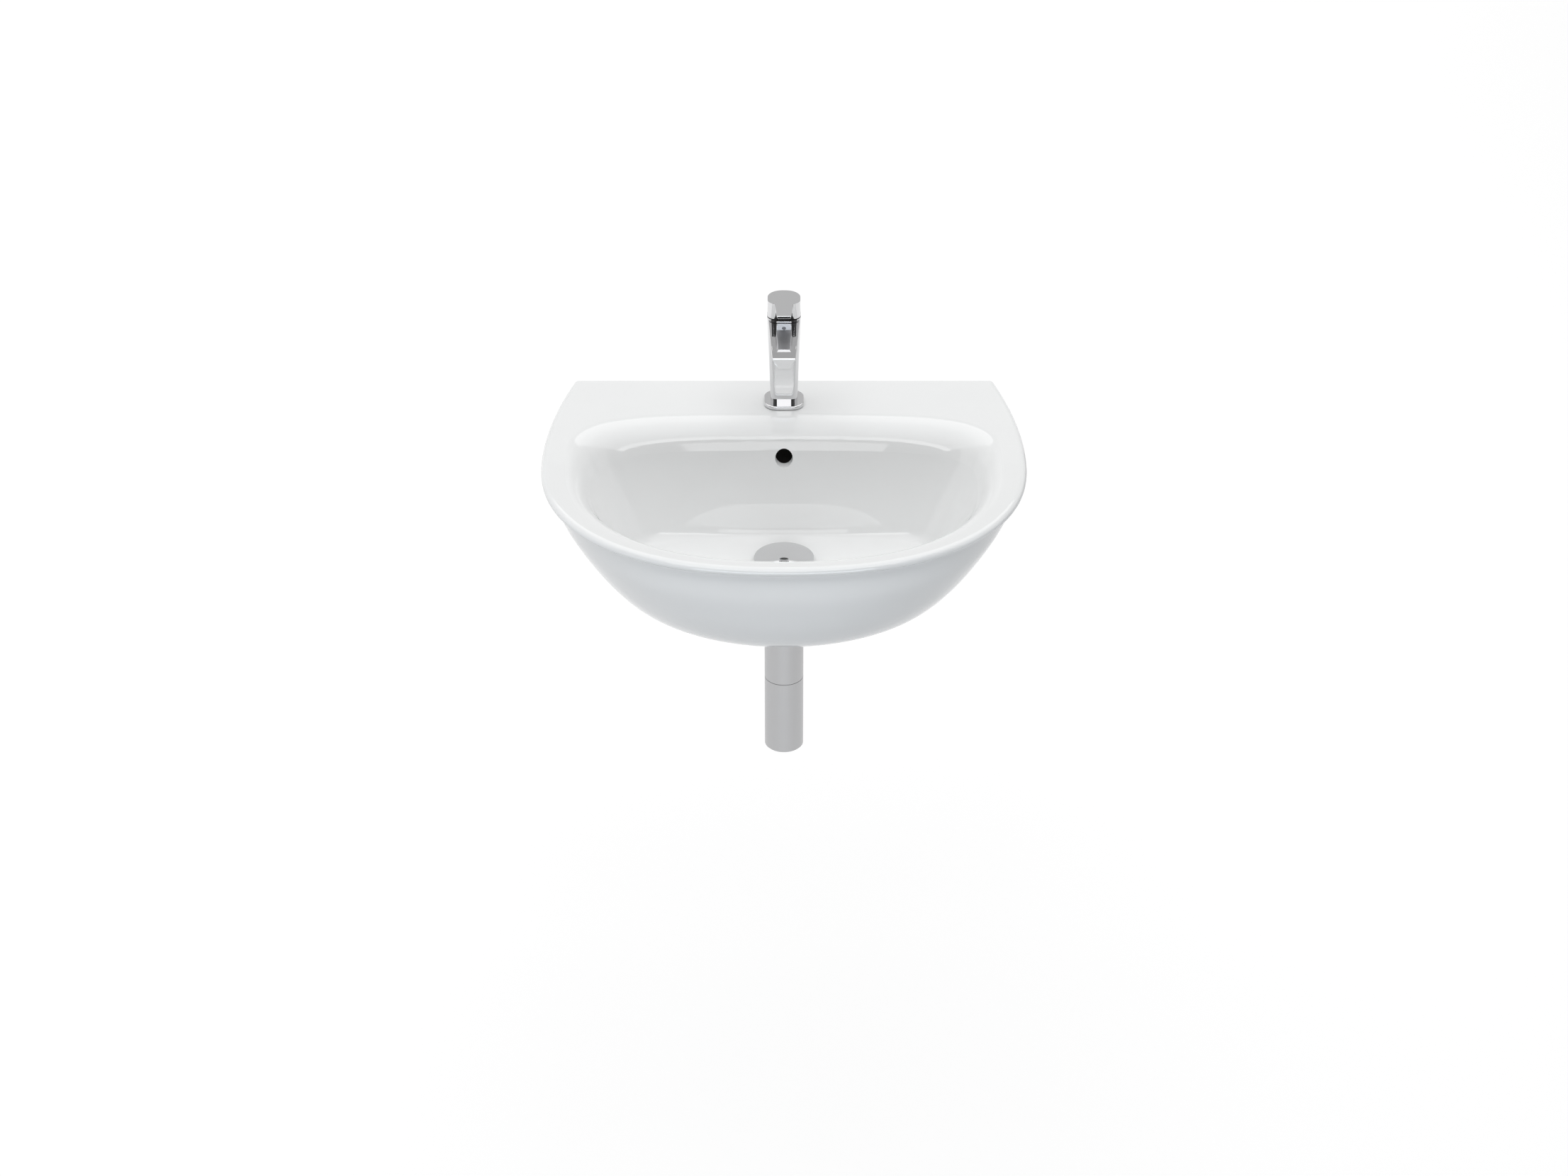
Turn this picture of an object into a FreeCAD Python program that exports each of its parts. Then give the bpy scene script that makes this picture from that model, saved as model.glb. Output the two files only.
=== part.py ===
import FreeCAD, Part
import math
import os
import re

import Sketcher
from FreeCAD import Rotation, Vector

# A wall-hung china basin with a single-lever mixer, a press-to-close waste and a bottle trap.
# Frame: origin on the wall midway between the two wall studs, +Z up, +Y into the wall.
# The user stands on the -Y side. Sizes are millimetres and degrees.

SIZES = [
    # china
    ("basin_width", 600, "china, widest across"),
    ("wall_width", 540, "china, across at the wall"),
    ("basin_depth", 470, "wall to the front of the rim"),
    ("basin_height", 160, "deck to foot"),
    ("widest_line", 200, "wall to the widest line"),
    ("rim_power", 2.3, "squareness of the rim's front"),
    ("flank_power", 1.9, "curve of the rim towards the wall"),
    ("rim_drop", 6, "deck to the rim's widest line"),
    ("rim_inset", 7, "deck edge, in from the widest line"),
    ("rim_band", 12, "deck to the top of the outer wall"),
    ("rim_overhang", 7.7, "rim over the outer wall"),
    ("foot_inset", 118, "foot's side, in from the rim's side"),
    ("foot_wall_inset", 106, "foot at the wall, in from the rim there"),
    ("foot_setback", 142, "foot's front, back from the rim's front"),
    ("foot_line", 247, "wall to the foot's widest line"),
    ("foot_power", 1.93, "squareness of the foot's front"),
    ("side_bend", 1.22, "outer wall's bend at the sides"),
    ("front_bend", 2.77, "outer wall's bend at the front"),
    ("power_bend", 1.5, "how the squareness fades downwards"),
    ("foot_ledge", 12, "width of the foot's ring"),
    ("china_thickness", 11, "wall of the china"),
    ("back_thickness", 13, "china against the wall"),
    ("deck_thickness", 15, "deck under the tap"),
    ("rim_side", 30, "rim's side to the start of the lip"),
    ("rim_front", 15, "rim's front to the start of the lip"),
    ("deck_front", 35, "tap's axis to the start of the lip"),
    ("lip_roll", 14, "lip, sideways, to the wall's line"),
    ("lip_back", 32, "lip at the back, to the wall's line"),
    ("lip_depth", 29, "lip, downwards"),
    ("lean_side", 72, "bowl wall's lean at the sides"),
    ("lean_back", 55, "bowl wall's lean at the back"),
    ("lean_front", 90, "bowl wall's lean at the front"),
    ("bowl_line", 215, "wall to the bowl's widest line"),
    ("floor_line", 240, "wall to the floor's widest line"),
    ("lip_power", 4, "squareness of the lip's back"),
    ("bowl_power", 3.6, "squareness of the bowl's back"),
    ("floor_power", 3.2, "squareness of the floor's back"),
    ("bowl_bottom", 27, "foot up to the floor at the drain"),
    ("floor_fall", 7, "fall of the floor to the drain"),
    ("floor_round", 13, "rounding between wall and floor"),
    ("drain_line", 231, "wall to the drain's axis"),
    ("drain_margin", 4.5, "flat round the plug"),
    ("drain_play", 2, "waste's tube in the china's hole"),
    ("boss_wall", 15, "boss round the drain hole"),
    ("boss_lift", 2, "foot up to the boss"),
    ("recess_play", 1.2, "waste's flange in its recess"),
    ("recess_depth", 3.5, "recess for the waste's flange"),
    ("overflow_radius", 11, "overflow hole"),
    ("overflow_depth", 37.6, "deck to the overflow hole"),
    ("overflow_lid", 3, "china over the overflow hole"),
    ("duct_width", 20, "overflow duct, across"),
    ("duct_gap", 12, "overflow duct, front to back"),
    ("duct_wall", 6, "overflow duct's wall"),
    ("duct_clear", 1.5, "duct's roof below the bowl's floor"),
    ("duct_skin", 1, "duct behind the bowl's own wall"),
    ("tap_line", 52, "wall to the tap's axis"),
    ("tap_hole_play", 1.5, "tap's shank in the deck's hole"),
    # wall fixings
    ("fixing_spacing", 280, "between the wall studs"),
    ("fixing_drop", 60, "deck to the wall studs"),
    ("bush_wall", 3, "bush round the stud"),
    ("stud_radius", 5, "wall stud"),
    ("stud_in_wall", 75, "wall stud, into the wall"),
    ("stud_step", 0.25, "wall stud's end in the wall, in from its nut's thread"),
    ("stud_in_room", 45, "wall stud, out of the wall"),
    ("bush_cover", 5, "bush's flange round its hole"),
    ("bush_flange", 3, "bush's flange, thick"),
    ("fixing_washer", 2.2, "fixing washer, thick"),
    ("fixing_nut", 8, "fixing nut, high"),
    ("fixing_nut_wall", 3.5, "fixing nut, stud to flat"),
    ("thread_play", 0.05, "radial play on every thread and slip fit"),
    ("sleeve_short", 0.5, "bush's sleeve short of the wall"),
    # tap: body
    ("gasket", 1, "gasket under the base plate"),
    ("gasket_inset", 1.5, "that gasket, in from the plate's sides"),
    ("plate_width", 50.4, "base plate, across"),
    ("plate_depth", 47, "base plate, front to back"),
    ("plate_forward", 4.3, "base plate's middle, forward of the axis"),
    ("plate_corner", 16, "base plate's corners"),
    ("plate_height", 4.2, "base plate, thick"),
    ("plate_edge", 1.4, "base plate's top edge"),
    ("column_foot_wall", 1, "column's foot round the shank"),
    ("column_base_corner", 8, "column's corners at its foot"),
    ("column_side_wall", 3.6, "column's top beside the bore"),
    ("column_back_wall", 3.4, "column's top behind the bore"),
    ("column_lip", 1.1, "column's top before the bore"),
    ("column_corner", 18.4, "column's and handle's back corners"),
    ("column_front_corner", 12, "column's and handle's front corners"),
    ("column_height", 123.5, "deck to the column's top"),
    ("spout_reach", 108, "tap's axis to the spout's tip"),
    ("spout_knee", 78, "tap's axis to the spout's knee"),
    ("spout_fall", 6, "fall of the spout's top"),
    ("spout_drop", 1, "column's top to the spout's top"),
    ("spout_root", 59, "spout's height at the column"),
    ("spout_tip", 15, "spout's height at the tip"),
    ("spout_width", 41, "spout's top at the column"),
    ("spout_tip_width", 31.5, "spout's top at the tip"),
    ("spout_belly", 30, "spout's underside at the column"),
    ("spout_tip_belly", 14.5, "spout's underside at the tip"),
    ("spout_corner", 1.6, "spout's long edges"),
    ("spout_edge", 1.2, "spout's front edges"),
    ("spout_sunk", 11, "spout's root inside the column's foot line"),
    ("knee_swell", 1, "spout's underside below a straight line at the knee"),
    ("knee_flare", 2, "spout's underside, wider at the knee"),
    ("shank_radius", 16, "tap's shank in the hole"),
    ("shank_length", 10, "tap's shank below the deck"),
    ("inlet_spacing", 13.4, "between the inlets"),
    ("inlet_forward", 3, "inlets, forward of the axis"),
    ("inlet_radius", 4.5, "inlet thread"),
    ("inlet_length", 16, "inlet thread, deep"),
    ("inlet_mouth", 11.5, "shank's end to the inlet thread"),
    ("inlet_mouth_play", 1, "clearance round a hose tail below the thread"),
    ("waterway_radius", 3.5, "waterways to the cartridge"),
    ("outlet_forward", 9.5, "mixed water's port, forward of the axis"),
    ("outlet_radius", 4, "mixed water's port"),
    ("outlet_fall", 13, "mixed water's port, deep"),
    ("channel_radius", 5, "waterway in the spout's root"),
    ("waterway_turn", 18, "spout's knee back to the waterway's turn"),
    ("waterway_dip", 5, "aerator's washer down to that turn"),
    ("nozzle_back", 11, "spout's tip to the aerator's axis"),
    ("aerator_radius", 7.6, "aerator"),
    ("aerator_height", 7.4, "aerator"),
    ("aerator_wall", 1.2, "aerator's housing"),
    ("aerator_washer", 1, "aerator's washer"),
    ("insert_inset", 1, "aerator's insert, in from the housing's ends"),
    ("aerator_sunk", 0.4, "aerator above the spout's underside"),
    # tap: under the deck
    ("clamp_radius", 4, "clamping stud"),
    ("clamp_back", 10.5, "clamping stud, behind the axis"),
    ("clamp_in_body", 14, "clamping stud, above the deck"),
    ("clamp_end", 0.5, "its hole, past the stud's end"),
    ("clamp_length", 76, "clamping stud"),
    ("shoe_cover", 6.5, "horseshoe round the deck's hole"),
    ("hose_room", 3, "horseshoe's slot beside the inlets"),
    ("slot_back", 4, "that slot's end, behind the axis"),
    ("shoe_gasket", 3, "horseshoe gasket, thick"),
    ("shoe_plate", 2.5, "horseshoe plate, thick"),
    ("clamp_nut", 6.5, "clamping nut, high"),
    ("clamp_nut_wall", 2.5, "clamping nut, stud to flat"),
    # tap: cartridge
    ("bore_radius", 17.6, "cartridge bore in the column"),
    ("bore_floor", 83, "deck to the floor of the bore"),
    ("cartridge_play", 0.3, "cartridge in its bore"),
    ("cartridge_seal", 1, "seal under the cartridge"),
    ("cartridge_base", 3, "cartridge base, thick"),
    ("housing_height", 25, "cartridge housing"),
    ("housing_wall", 2.3, "cartridge housing's wall"),
    ("housing_lip", 2, "lip over the rotor"),
    ("housing_ledge", 2.4, "lip, inwards over the rotor"),
    ("disc_height", 3.5, "ceramic discs and carrier, thick"),
    ("disc_play", 0.4, "fixed disc in the housing"),
    ("slider_room", 5, "housing round the moving disc"),
    ("slider_gap", 0.05, "between the discs"),
    ("pocket_wall", 4, "moving disc round its pocket"),
    ("rotor_height", 11.4, "rotor below the lip"),
    ("rotor_play", 0.1, "rotor in the housing"),
    ("neck_height", 3.6, "rotor's neck"),
    ("pivot_height", 106, "deck to the lever's pivot"),
    ("pivot_radius", 1.5, "pivot pin"),
    ("pin_fit", 0.01, "pivot pin in the rotor"),
    ("pivot_cover", 4, "housing's bore past the pivot pin's ends"),
    ("stem_width", 8, "lever stem, across"),
    ("stem_depth", 7, "lever stem, front to back"),
    ("stem_top", 137, "deck to the stem's top"),
    ("stem_play", 0.15, "stem in the rotor's slot"),
    ("stem_room", 6, "rotor's slot before and behind the stem"),
    ("slot_forward", 0.5, "rotor's slot, forward of the axis"),
    ("stem_lift", 1, "stem's foot above the rotor's"),
    ("rod_radius", 2, "rod between stem and ball"),
    ("stem_arm", 9, "pivot down to the ball"),
    ("ball_radius", 2.5, "ball on the stem"),
    ("ball_play", 0.2, "ball in the carrier"),
    ("nut_step", 0.3, "cartridge nut's bore over the hole in the lip"),
    ("nut_height", 8.9, "cartridge nut"),
    ("cover_height", 3.3, "cover ring"),
    ("cover_step", 0.9, "cover ring's bore over the hole in the lip"),
    # tap: handle
    ("handle_gap", 1.5, "between column and handle"),
    ("handle_height", 20.8, "handle"),
    ("crown_taper", 0.5, "handle's top, in from its skirt"),
    ("lever_sunk", 6, "lever's root inside the handle"),
    ("handle_wall", 9.5, "handle's skirt round its hollow"),
    ("handle_roof", 12.8, "handle over its hollow"),
    ("lift_angle", 20, "lever's lift, and the bevel behind it"),
    ("bevel_forward", 3, "start of that bevel, forward of the axis"),
    ("lever_reach", 51, "tap's axis to the lever's end"),
    ("lever_root", 23.5, "lever's width at the handle's front"),
    ("lever_end", 19, "lever's width at its end"),
    ("lever_root_height", 12.5, "lever's height at the handle"),
    ("lever_end_height", 3.7, "lever's height at its end"),
    ("lever_belly", 4, "lever's underside, narrower by"),
    ("lever_edge", 0.8, "lever's long edges"),
    ("lever_tip_edge", 0.5, "lever's end edges"),
    ("socket_radius", 7.5, "boss for the stem in the handle"),
    ("socket_drop", 2.5, "handle's bottom up to that boss"),
    ("screw_radius", 2.5, "handle's screw"),
    ("screw_height", 7, "handle's bottom up to the screw"),
    ("screw_length", 5.5, "handle's screw"),
    ("button_length", 3.4, "colour button over the screw"),
    # waste
    ("waste_length", 75, "drain floor to the waste's end"),
    ("waste_radius", 21, "waste's threaded tube"),
    ("waste_wall", 2.5, "waste's threaded tube"),
    ("flange_cover", 11, "waste's flange round the china's hole"),
    ("flange_height", 2.5, "waste's flange, thick"),
    ("seat_width", 6, "seal's seat round the waste's tube"),
    ("seat_depth", 1.8, "seal's seat below the flange"),
    ("ring_inset", 1, "flange's gasket, in from the flange and the hole"),
    ("slot_width", 9, "overflow slots"),
    ("slot_height", 8, "overflow slots"),
    ("slot_depth", 10, "drain floor to the overflow slots"),
    ("spider_depth", 30, "drain floor to the spider"),
    ("spider_height", 8, "spider"),
    ("spider_arm", 4, "spider's arms, thick"),
    ("hub_wall", 1.5, "spider's hub round the guide"),
    ("under_gasket", 6, "gasket under the china"),
    ("boss_edge", 3, "boss's rim round the gasket under it"),
    ("under_washer", 2, "washer under the gasket"),
    ("backnut_height", 10, "backnut"),
    ("backnut_wall", 6, "backnut, tube to flat"),
    ("guide_wall", 1.4, "plug guide's wall"),
    ("pin_play", 0.1, "plug pin in its guide"),
    ("guide_floor", 37, "drain floor to the guide's inner floor"),
    ("guide_cap", 3, "guide's floor and flange, thick"),
    ("guide_top", 6, "drain floor to the guide's top"),
    ("guide_swell", 0.6, "guide, thicker above the spider"),
    ("pin_radius", 3.5, "plug pin"),
    ("pin_depth", 28, "drain floor to the pin's end"),
    ("press_travel", 6, "plug's travel"),
    ("plug_gap", 0.4, "plug over the flange when shut"),
    ("plug_cover", 3.5, "plug past the flange"),
    ("plug_height", 4, "plug's edge"),
    ("plug_edge", 0.6, "plug's bevel"),
    ("plug_boss_wall", 3.5, "plug's boss round the pin"),
    ("plug_boss", 5.8, "plug's boss, high"),
    ("seal_inset", 1, "plug's seal, out from the waste's tube"),
    ("seal_band", 3, "plug's seal, across"),
    ("plug_seal", 2, "plug's seal, thick"),
    ("spring_inset", 0.3, "spring's outside in from the pin's"),
    ("spring_wire", 0.8, "plug spring's wall"),
    # trap
    ("pipe_radius", 16, "trap's pipes"),
    ("pipe_wall", 1.2, "trap's pipes"),
    ("union_washer", 2, "washer in the union"),
    ("union_collar", 2, "collar on the inlet pipe"),
    ("collar_inset", 0.4, "that collar, in from the waste's thread"),
    ("union_wall", 4, "union nut round the waste"),
    ("union_lip", 2.5, "union nut's lip"),
    ("union_grip", 12, "union nut on the waste"),
    ("dip_length", 182, "waste's end to the inlet pipe's end"),
    ("head_drop", 28, "waste's end to the trap's head"),
    ("head_height", 64, "trap's head"),
    ("trap_radius", 24.6, "trap's head and cup"),
    ("trap_wall", 2.2, "trap's head and cup"),
    ("head_roof", 4, "roof of the trap's head"),
    ("neck_wall", 2, "head's thread round the seal"),
    ("neck_rise", 8, "head's thread, high"),
    ("seal_wall", 1.5, "seal round a pipe"),
    ("seal_seat", 2, "seat of the seal above the roof"),
    ("ring_wall", 3, "slip nuts round the head's thread"),
    ("ring_lip", 3, "slip nuts' lip"),
    ("branch_drop", 26, "head's top to the outlet's axis"),
    ("branch_wall", 3, "outlet branch round the pipe"),
    ("branch_length", 42, "trap's axis to the branch's end"),
    ("branch_thread", 12, "outlet nut on the branch"),
    ("outlet_start", 26, "trap's axis to the outlet pipe"),
    ("outlet_seal", 3, "seal at the outlet"),
    ("outlet_in_wall", 45, "outlet pipe, into the wall"),
    ("spigot_step", 0.25, "outlet pipe's end, in from the pipe"),
    ("spigot_length", 42, "outlet pipe's end in the wall"),
    ("cup_seal", 0.6, "seal between head and cup"),
    ("seal_recess", 0.3, "that seal, in from the outside"),
    ("cup_height", 103.4, "trap's cup"),
    ("cup_floor", 2.5, "floor of the cup"),
    ("cup_edge", 2, "cup's lower edge"),
    ("cup_neck", 12, "cup's thread in the head"),
    ("rosette_radius", 32, "wall rosette"),
    ("rosette_depth", 10, "wall rosette"),
    ("rosette_rim", 1.5, "wall rosette's upright edges"),
    ("rosette_step", 2, "wall rosette's shoulders"),
    ("nut_bevel", 1, "bevels of nuts, head and flange"),
    ("nut_gap", 0.4, "slip nut over the head"),
    ("ring_play", 0.02, "seals round a pipe"),
    # shared by the cutting tools
    ("overcut", 5, "how far a tool reaches past a face"),
]
NAMES = {name for name, amount, meaning in SIZES}

doc = FreeCAD.newDocument("basin")
sheet = doc.addObject("Spreadsheet::Sheet", "sizes")
for row, (name, amount, meaning) in enumerate(SIZES, 1):
    sheet.set(f"A{row}", meaning)
    sheet.set(f"B{row}", str(amount))
    sheet.setAlias(f"B{row}", name)
doc.recompute()

# Levels and axes that several pieces share, as formulas of the sheet's values.
DECK = "fixing_drop"
TAP = "-tap_line"
DRAIN = "-drain_line"
DRAIN_FLOOR = "(fixing_drop - basin_height + bowl_bottom)"
WASTE_END = f"({DRAIN_FLOOR} - waste_length)"
TRAP_HEAD = f"({WASTE_END} - head_drop)"
TRAP_CUP = f"({TRAP_HEAD} - head_height - cup_seal)"
BOSS = "(fixing_drop - basin_height + boss_lift)"
PLUG = f"({DRAIN_FLOOR} + press_travel + plug_gap)"
SPOUT_TOP = "(fixing_drop + column_height - spout_drop)"
NOZZLE = "(-tap_line - spout_reach + nozzle_back)"
NOZZLE_FLOOR = f"({SPOUT_TOP} - spout_fall - spout_tip + aerator_sunk)"
CARTRIDGE = "(fixing_drop + bore_floor + cartridge_seal)"
HOUSING = f"({CARTRIDGE} + cartridge_base)"
SLIDER = f"({HOUSING} + disc_height + slider_gap)"
ROTOR = f"({HOUSING} + housing_height - housing_lip - rotor_play - rotor_height)"
PIVOT = "(fixing_drop + pivot_height)"
HANDLE = "(fixing_drop + column_height + handle_gap)"
INLET = "(-tap_line - inlet_forward)"
CLAMP = "(-tap_line + clamp_back)"

# Radii and widths that follow what they hold.
DECK_DEPTH = "(tap_line + deck_front)"
DRAIN_HOLE = "(waste_radius + drain_play)"
BOSS_RADIUS = f"({DRAIN_HOLE} + boss_wall)"
FLANGE = f"({DRAIN_HOLE} + flange_cover)"
RECESS = f"({FLANGE} + recess_play)"
PLUG_RADIUS = f"({FLANGE} + plug_cover)"
DRAIN_FLAT = f"({PLUG_RADIUS} + drain_margin)"
WASTE_BORE = "(waste_radius - waste_wall)"
SEAT_EDGE = "(waste_radius + seat_width)"
UNDER_RADIUS = f"({BOSS_RADIUS} - boss_edge)"
GUIDE_BORE = "(pin_radius + pin_play)"
GUIDE_RADIUS = f"({GUIDE_BORE} + guide_wall)"
HUB_RADIUS = f"({GUIDE_RADIUS} + hub_wall)"
SPRING_RADIUS = "(pin_radius - spring_inset)"
TAP_HOLE = "(shank_radius + tap_hole_play)"
SHOE_RADIUS = f"({TAP_HOLE} + shoe_cover)"
COLUMN_FOOT = "(shank_radius + column_foot_wall)"
COLUMN_SIDE = "(bore_radius + column_side_wall)"
COLUMN_BACK = "(bore_radius + column_back_wall)"
COLUMN_FACE = "(bore_radius + column_lip)"
PLATE = f"({TAP} - plate_forward)"
HANDLE_LEAN = "(crown_taper / handle_height)"
CARTRIDGE_RADIUS = "(bore_radius - cartridge_play)"
HOUSING_BORE = f"({CARTRIDGE_RADIUS} - housing_wall)"
HOUSING_MOUTH = f"({HOUSING_BORE} - housing_ledge)"
SLIDER_RADIUS = f"({HOUSING_BORE} - slider_room)"
PIVOT_LENGTH = f"(2 * ({HOUSING_BORE} - pivot_cover))"
STUD_HOLE = "(stud_radius + bush_wall)"
BUSH_FLANGE = f"({STUD_HOLE} + bush_cover)"
SEAL_RADIUS = "(pipe_radius + seal_wall)"
NECK_RADIUS = f"({SEAL_RADIUS} + neck_wall)"
RING_RADIUS = f"({NECK_RADIUS} + ring_wall)"
BRANCH_RADIUS = "(pipe_radius + branch_wall)"
UNION_RADIUS = "(waste_radius + union_wall)"

UPRIGHT = Rotation()
TO_WALL = Rotation(Vector(1, 0, 0), -90)
TO_ROOM = Rotation(Vector(1, 0, 0), 90)
TO_RIGHT = Rotation(Vector(0, 1, 0), 90)

nodes = {}


def size(formula):
    """The value of a formula of the sheet's names."""
    return float(sheet.evalExpression(formula))


def bind(item, path, formula):
    """Tie a property to the sheet."""
    linked = re.sub("[a-z_]+", lambda word: "sizes." * (word[0] in NAMES) + word[0], formula)
    item.setExpression(path, linked)


def place(item, spot, turn=UPRIGHT):
    """Turn an object and tie its place to the sheet."""
    item.Placement = FreeCAD.Placement(Vector(*[size(formula) for formula in spot]), turn)
    for axis, formula in zip("xyz", spot):
        bind(item, "Placement.Base." + axis, formula)


def keep(item, name):
    """Hand an object in as the node of this name."""
    item.Label = name
    nodes[name] = item
    return item


def solid(name, shape):
    """A free-form blank."""
    item = doc.addObject("Part::Feature", name)
    item.Shape = shape
    return item


def cylinder(name, radius, length, spot, turn=UPRIGHT):
    item = doc.addObject("Part::Cylinder", name)
    bind(item, "Radius", radius)
    bind(item, "Height", length)
    place(item, spot, turn)
    return item


def block(name, across, deep, high, spot):
    """A box, centred on its spot sideways, that starts at the spot's Y and Z."""
    item = doc.addObject("Part::Box", name)
    bind(item, "Length", across)
    bind(item, "Width", deep)
    bind(item, "Height", high)
    place(item, (f"{spot[0]} - ({across}) / 2", spot[1], spot[2]))
    return item


def hexagon(name, flats, high, spot, turn=UPRIGHT):
    item = doc.addObject("Part::Prism", name)
    item.Polygon = 6
    bind(item, "Circumradius", f"({flats}) / sqrt(3)")
    bind(item, "Height", high)
    place(item, spot, turn)
    return item


def cut(name, base, tools):
    tool = tools[0]
    if len(tools) > 1:
        tool = doc.addObject("Part::MultiFuse", name + "_tools")
        tool.Shapes = tools
    item = doc.addObject("Part::Cut", name)
    item.Base = base
    item.Tool = tool
    return item


def fuse(name, parts):
    item = doc.addObject("Part::MultiFuse", name)
    item.Shapes = parts
    return item


def pair(name, right):
    """A piece at the right wall stud and its twin at the left one."""
    left = doc.addObject("Part::Mirroring", name + "_left")
    left.Source = right
    left.Normal = Vector(1, 0, 0)
    both = doc.addObject("Part::Compound", name)
    both.Links = [right, left]
    return keep(both, name)


def plane(body, role):
    return next(item for item in body.Origin.OriginFeatures if item.Role == role)


def turned(name, outline, spot, turn=UPRIGHT):
    """A body turned about its own Z from an outline of radius and height formulas."""
    body = doc.addObject("PartDesign::Body", name)
    sketch = body.newObject("Sketcher::SketchObject", name + "_outline")
    sketch.AttachmentSupport = (plane(body, "XZ_Plane"), [""])
    sketch.MapMode = "FlatFace"
    corners = [Vector(size(radius), size(height), 0) for radius, height in outline]
    for start, end in zip(corners, corners[1:] + corners[:1]):
        sketch.addGeometry(Part.LineSegment(start, end))
    for index, (radius, height) in enumerate(outline):
        before = (index - 1) % len(outline)
        sketch.addConstraint(Sketcher.Constraint("Coincident", before, 2, index, 1))
        for kind, axis, formula, amount in (
            ("DistanceX", -2, radius, corners[index].x),
            ("DistanceY", -1, height, corners[index].y),
        ):
            if formula == "0":
                sketch.addConstraint(Sketcher.Constraint("PointOnObject", index, 1, axis))
            else:
                number = sketch.addConstraint(Sketcher.Constraint(kind, -1, 1, index, 1, amount))
                bind(sketch, f"Constraints[{number}]", formula)
    turning = body.newObject("PartDesign::Revolution", name + "_turning")
    turning.Profile = sketch
    turning.ReferenceAxis = (sketch, ["V_Axis"])
    turning.Angle = 360
    place(body, spot, turn)
    return body


def tube(name, inner, outer, high, spot, turn=UPRIGHT):
    return turned(name, [(inner, "0"), (outer, "0"), (outer, high), (inner, high)], spot, turn)


def mix(first, second, share):
    return [start + (end - start) * share for start, end in zip(first, second)]


def blend(first, corner, last, share):
    """A point of the parabola that rounds a corner."""
    return mix(mix(first, corner, share), mix(corner, last, share), share)


def squared(angle, power):
    """The reach of a squared circle of radius 1 at an angle."""
    return (abs(math.cos(angle)) ** power + abs(math.sin(angle)) ** power) ** (-1 / power)


def bowl_points(form):
    """A plan outline of the bowl: half width, back, front, widest line and two squarenesses."""
    half, back, front, line, back_power, front_power = form
    points = []
    for step in range(36):
        angle = math.pi / 2 - math.pi * step / 18
        behind = math.sin(angle) > 0
        reach = squared(angle, back_power if behind else front_power)
        along = line - back if behind else front - line
        points.append((half * reach * math.cos(angle), -line + along * reach * math.sin(angle)))
    return points


def outer_points(form):
    """A plan outline of the outside: half width, half width at the wall, front, line, squareness, back."""
    half, wall_half, front, line, power, back = form
    flank = size("flank_power")
    right = []
    for step in range(5):
        depth = back + (line - back) * step / 5
        right.append((half - (half - wall_half) * ((line - depth) / line) ** flank, -depth))
    for step in range(9):
        angle = math.pi * step / 18
        reach = squared(angle, power)
        right.append((half * reach * math.cos(angle), -line - (front - line) * reach * math.sin(angle)))
    left = [(-x, y) for x, y in reversed(right)]
    return right + [(0, -front)] + left


def lengths(points):
    """How far along an outline each of its points lies."""
    total = [0]
    for first, second in zip(points, points[1:]):
        total.append(total[-1] + math.dist(first, second))
    return total


def ring(points, level, knots):
    """A level outline through plan points: closed by itself, or by a straight back."""
    curve = Part.BSplineCurve()
    corners = [Vector(x, y, level) for x, y in points]
    closed = len(knots) > len(points)
    curve.interpolate(Points=corners, PeriodicFlag=closed, Parameters=knots)
    edges = [curve.toShape()]
    if not closed:
        edges.append(Part.LineSegment(corners[-1], corners[0]).toShape())
    return Part.Wire(edges)


def bend(share, power):
    return 1 - (1 - share**power) ** (1 / power)


def outer_form(share, inset, back):
    """The outside at a share of its height, moved in by a wall."""
    overhang = size("rim_overhang")
    top_half = size("basin_width / 2") - overhang
    top_wall = size("wall_width / 2") - overhang
    side = bend(share, size("side_bend"))
    front = bend(share, size("front_bend"))
    return [
        top_half - inset + (size("basin_width / 2 - foot_inset") - top_half + inset) * side,
        top_wall - inset + (size("wall_width / 2 - foot_wall_inset") - top_wall + inset) * side,
        size("basin_depth") - overhang - inset + (overhang + inset - size("foot_setback")) * front,
        size("widest_line") + size("foot_line - widest_line") * side,
        size("rim_power") + size("foot_power - rim_power") * share ** size("power_bend"),
        back,
    ]


def rim_form(inset):
    return [
        size("basin_width / 2") - inset,
        size("wall_width / 2") - inset,
        size("basin_depth") - inset,
        size("widest_line"),
        size("rim_power"),
        0,
    ]


def skin(rings, ruled=False):
    return Part.makeLoft(rings, False, ruled).Faces


def flat(outside, *inside):
    return Part.makeFace([outside, *inside], "Part::FaceMakerBullseye").Faces


def prism(outline, width):
    """A slab across the middle plane, from an outline of Y and Z."""
    corners = [Vector(-width / 2, y, z) for y, z in outline]
    return Part.Face(Part.makePolygon(corners + corners[:1])).extrude(Vector(width, 0, 0))


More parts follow.
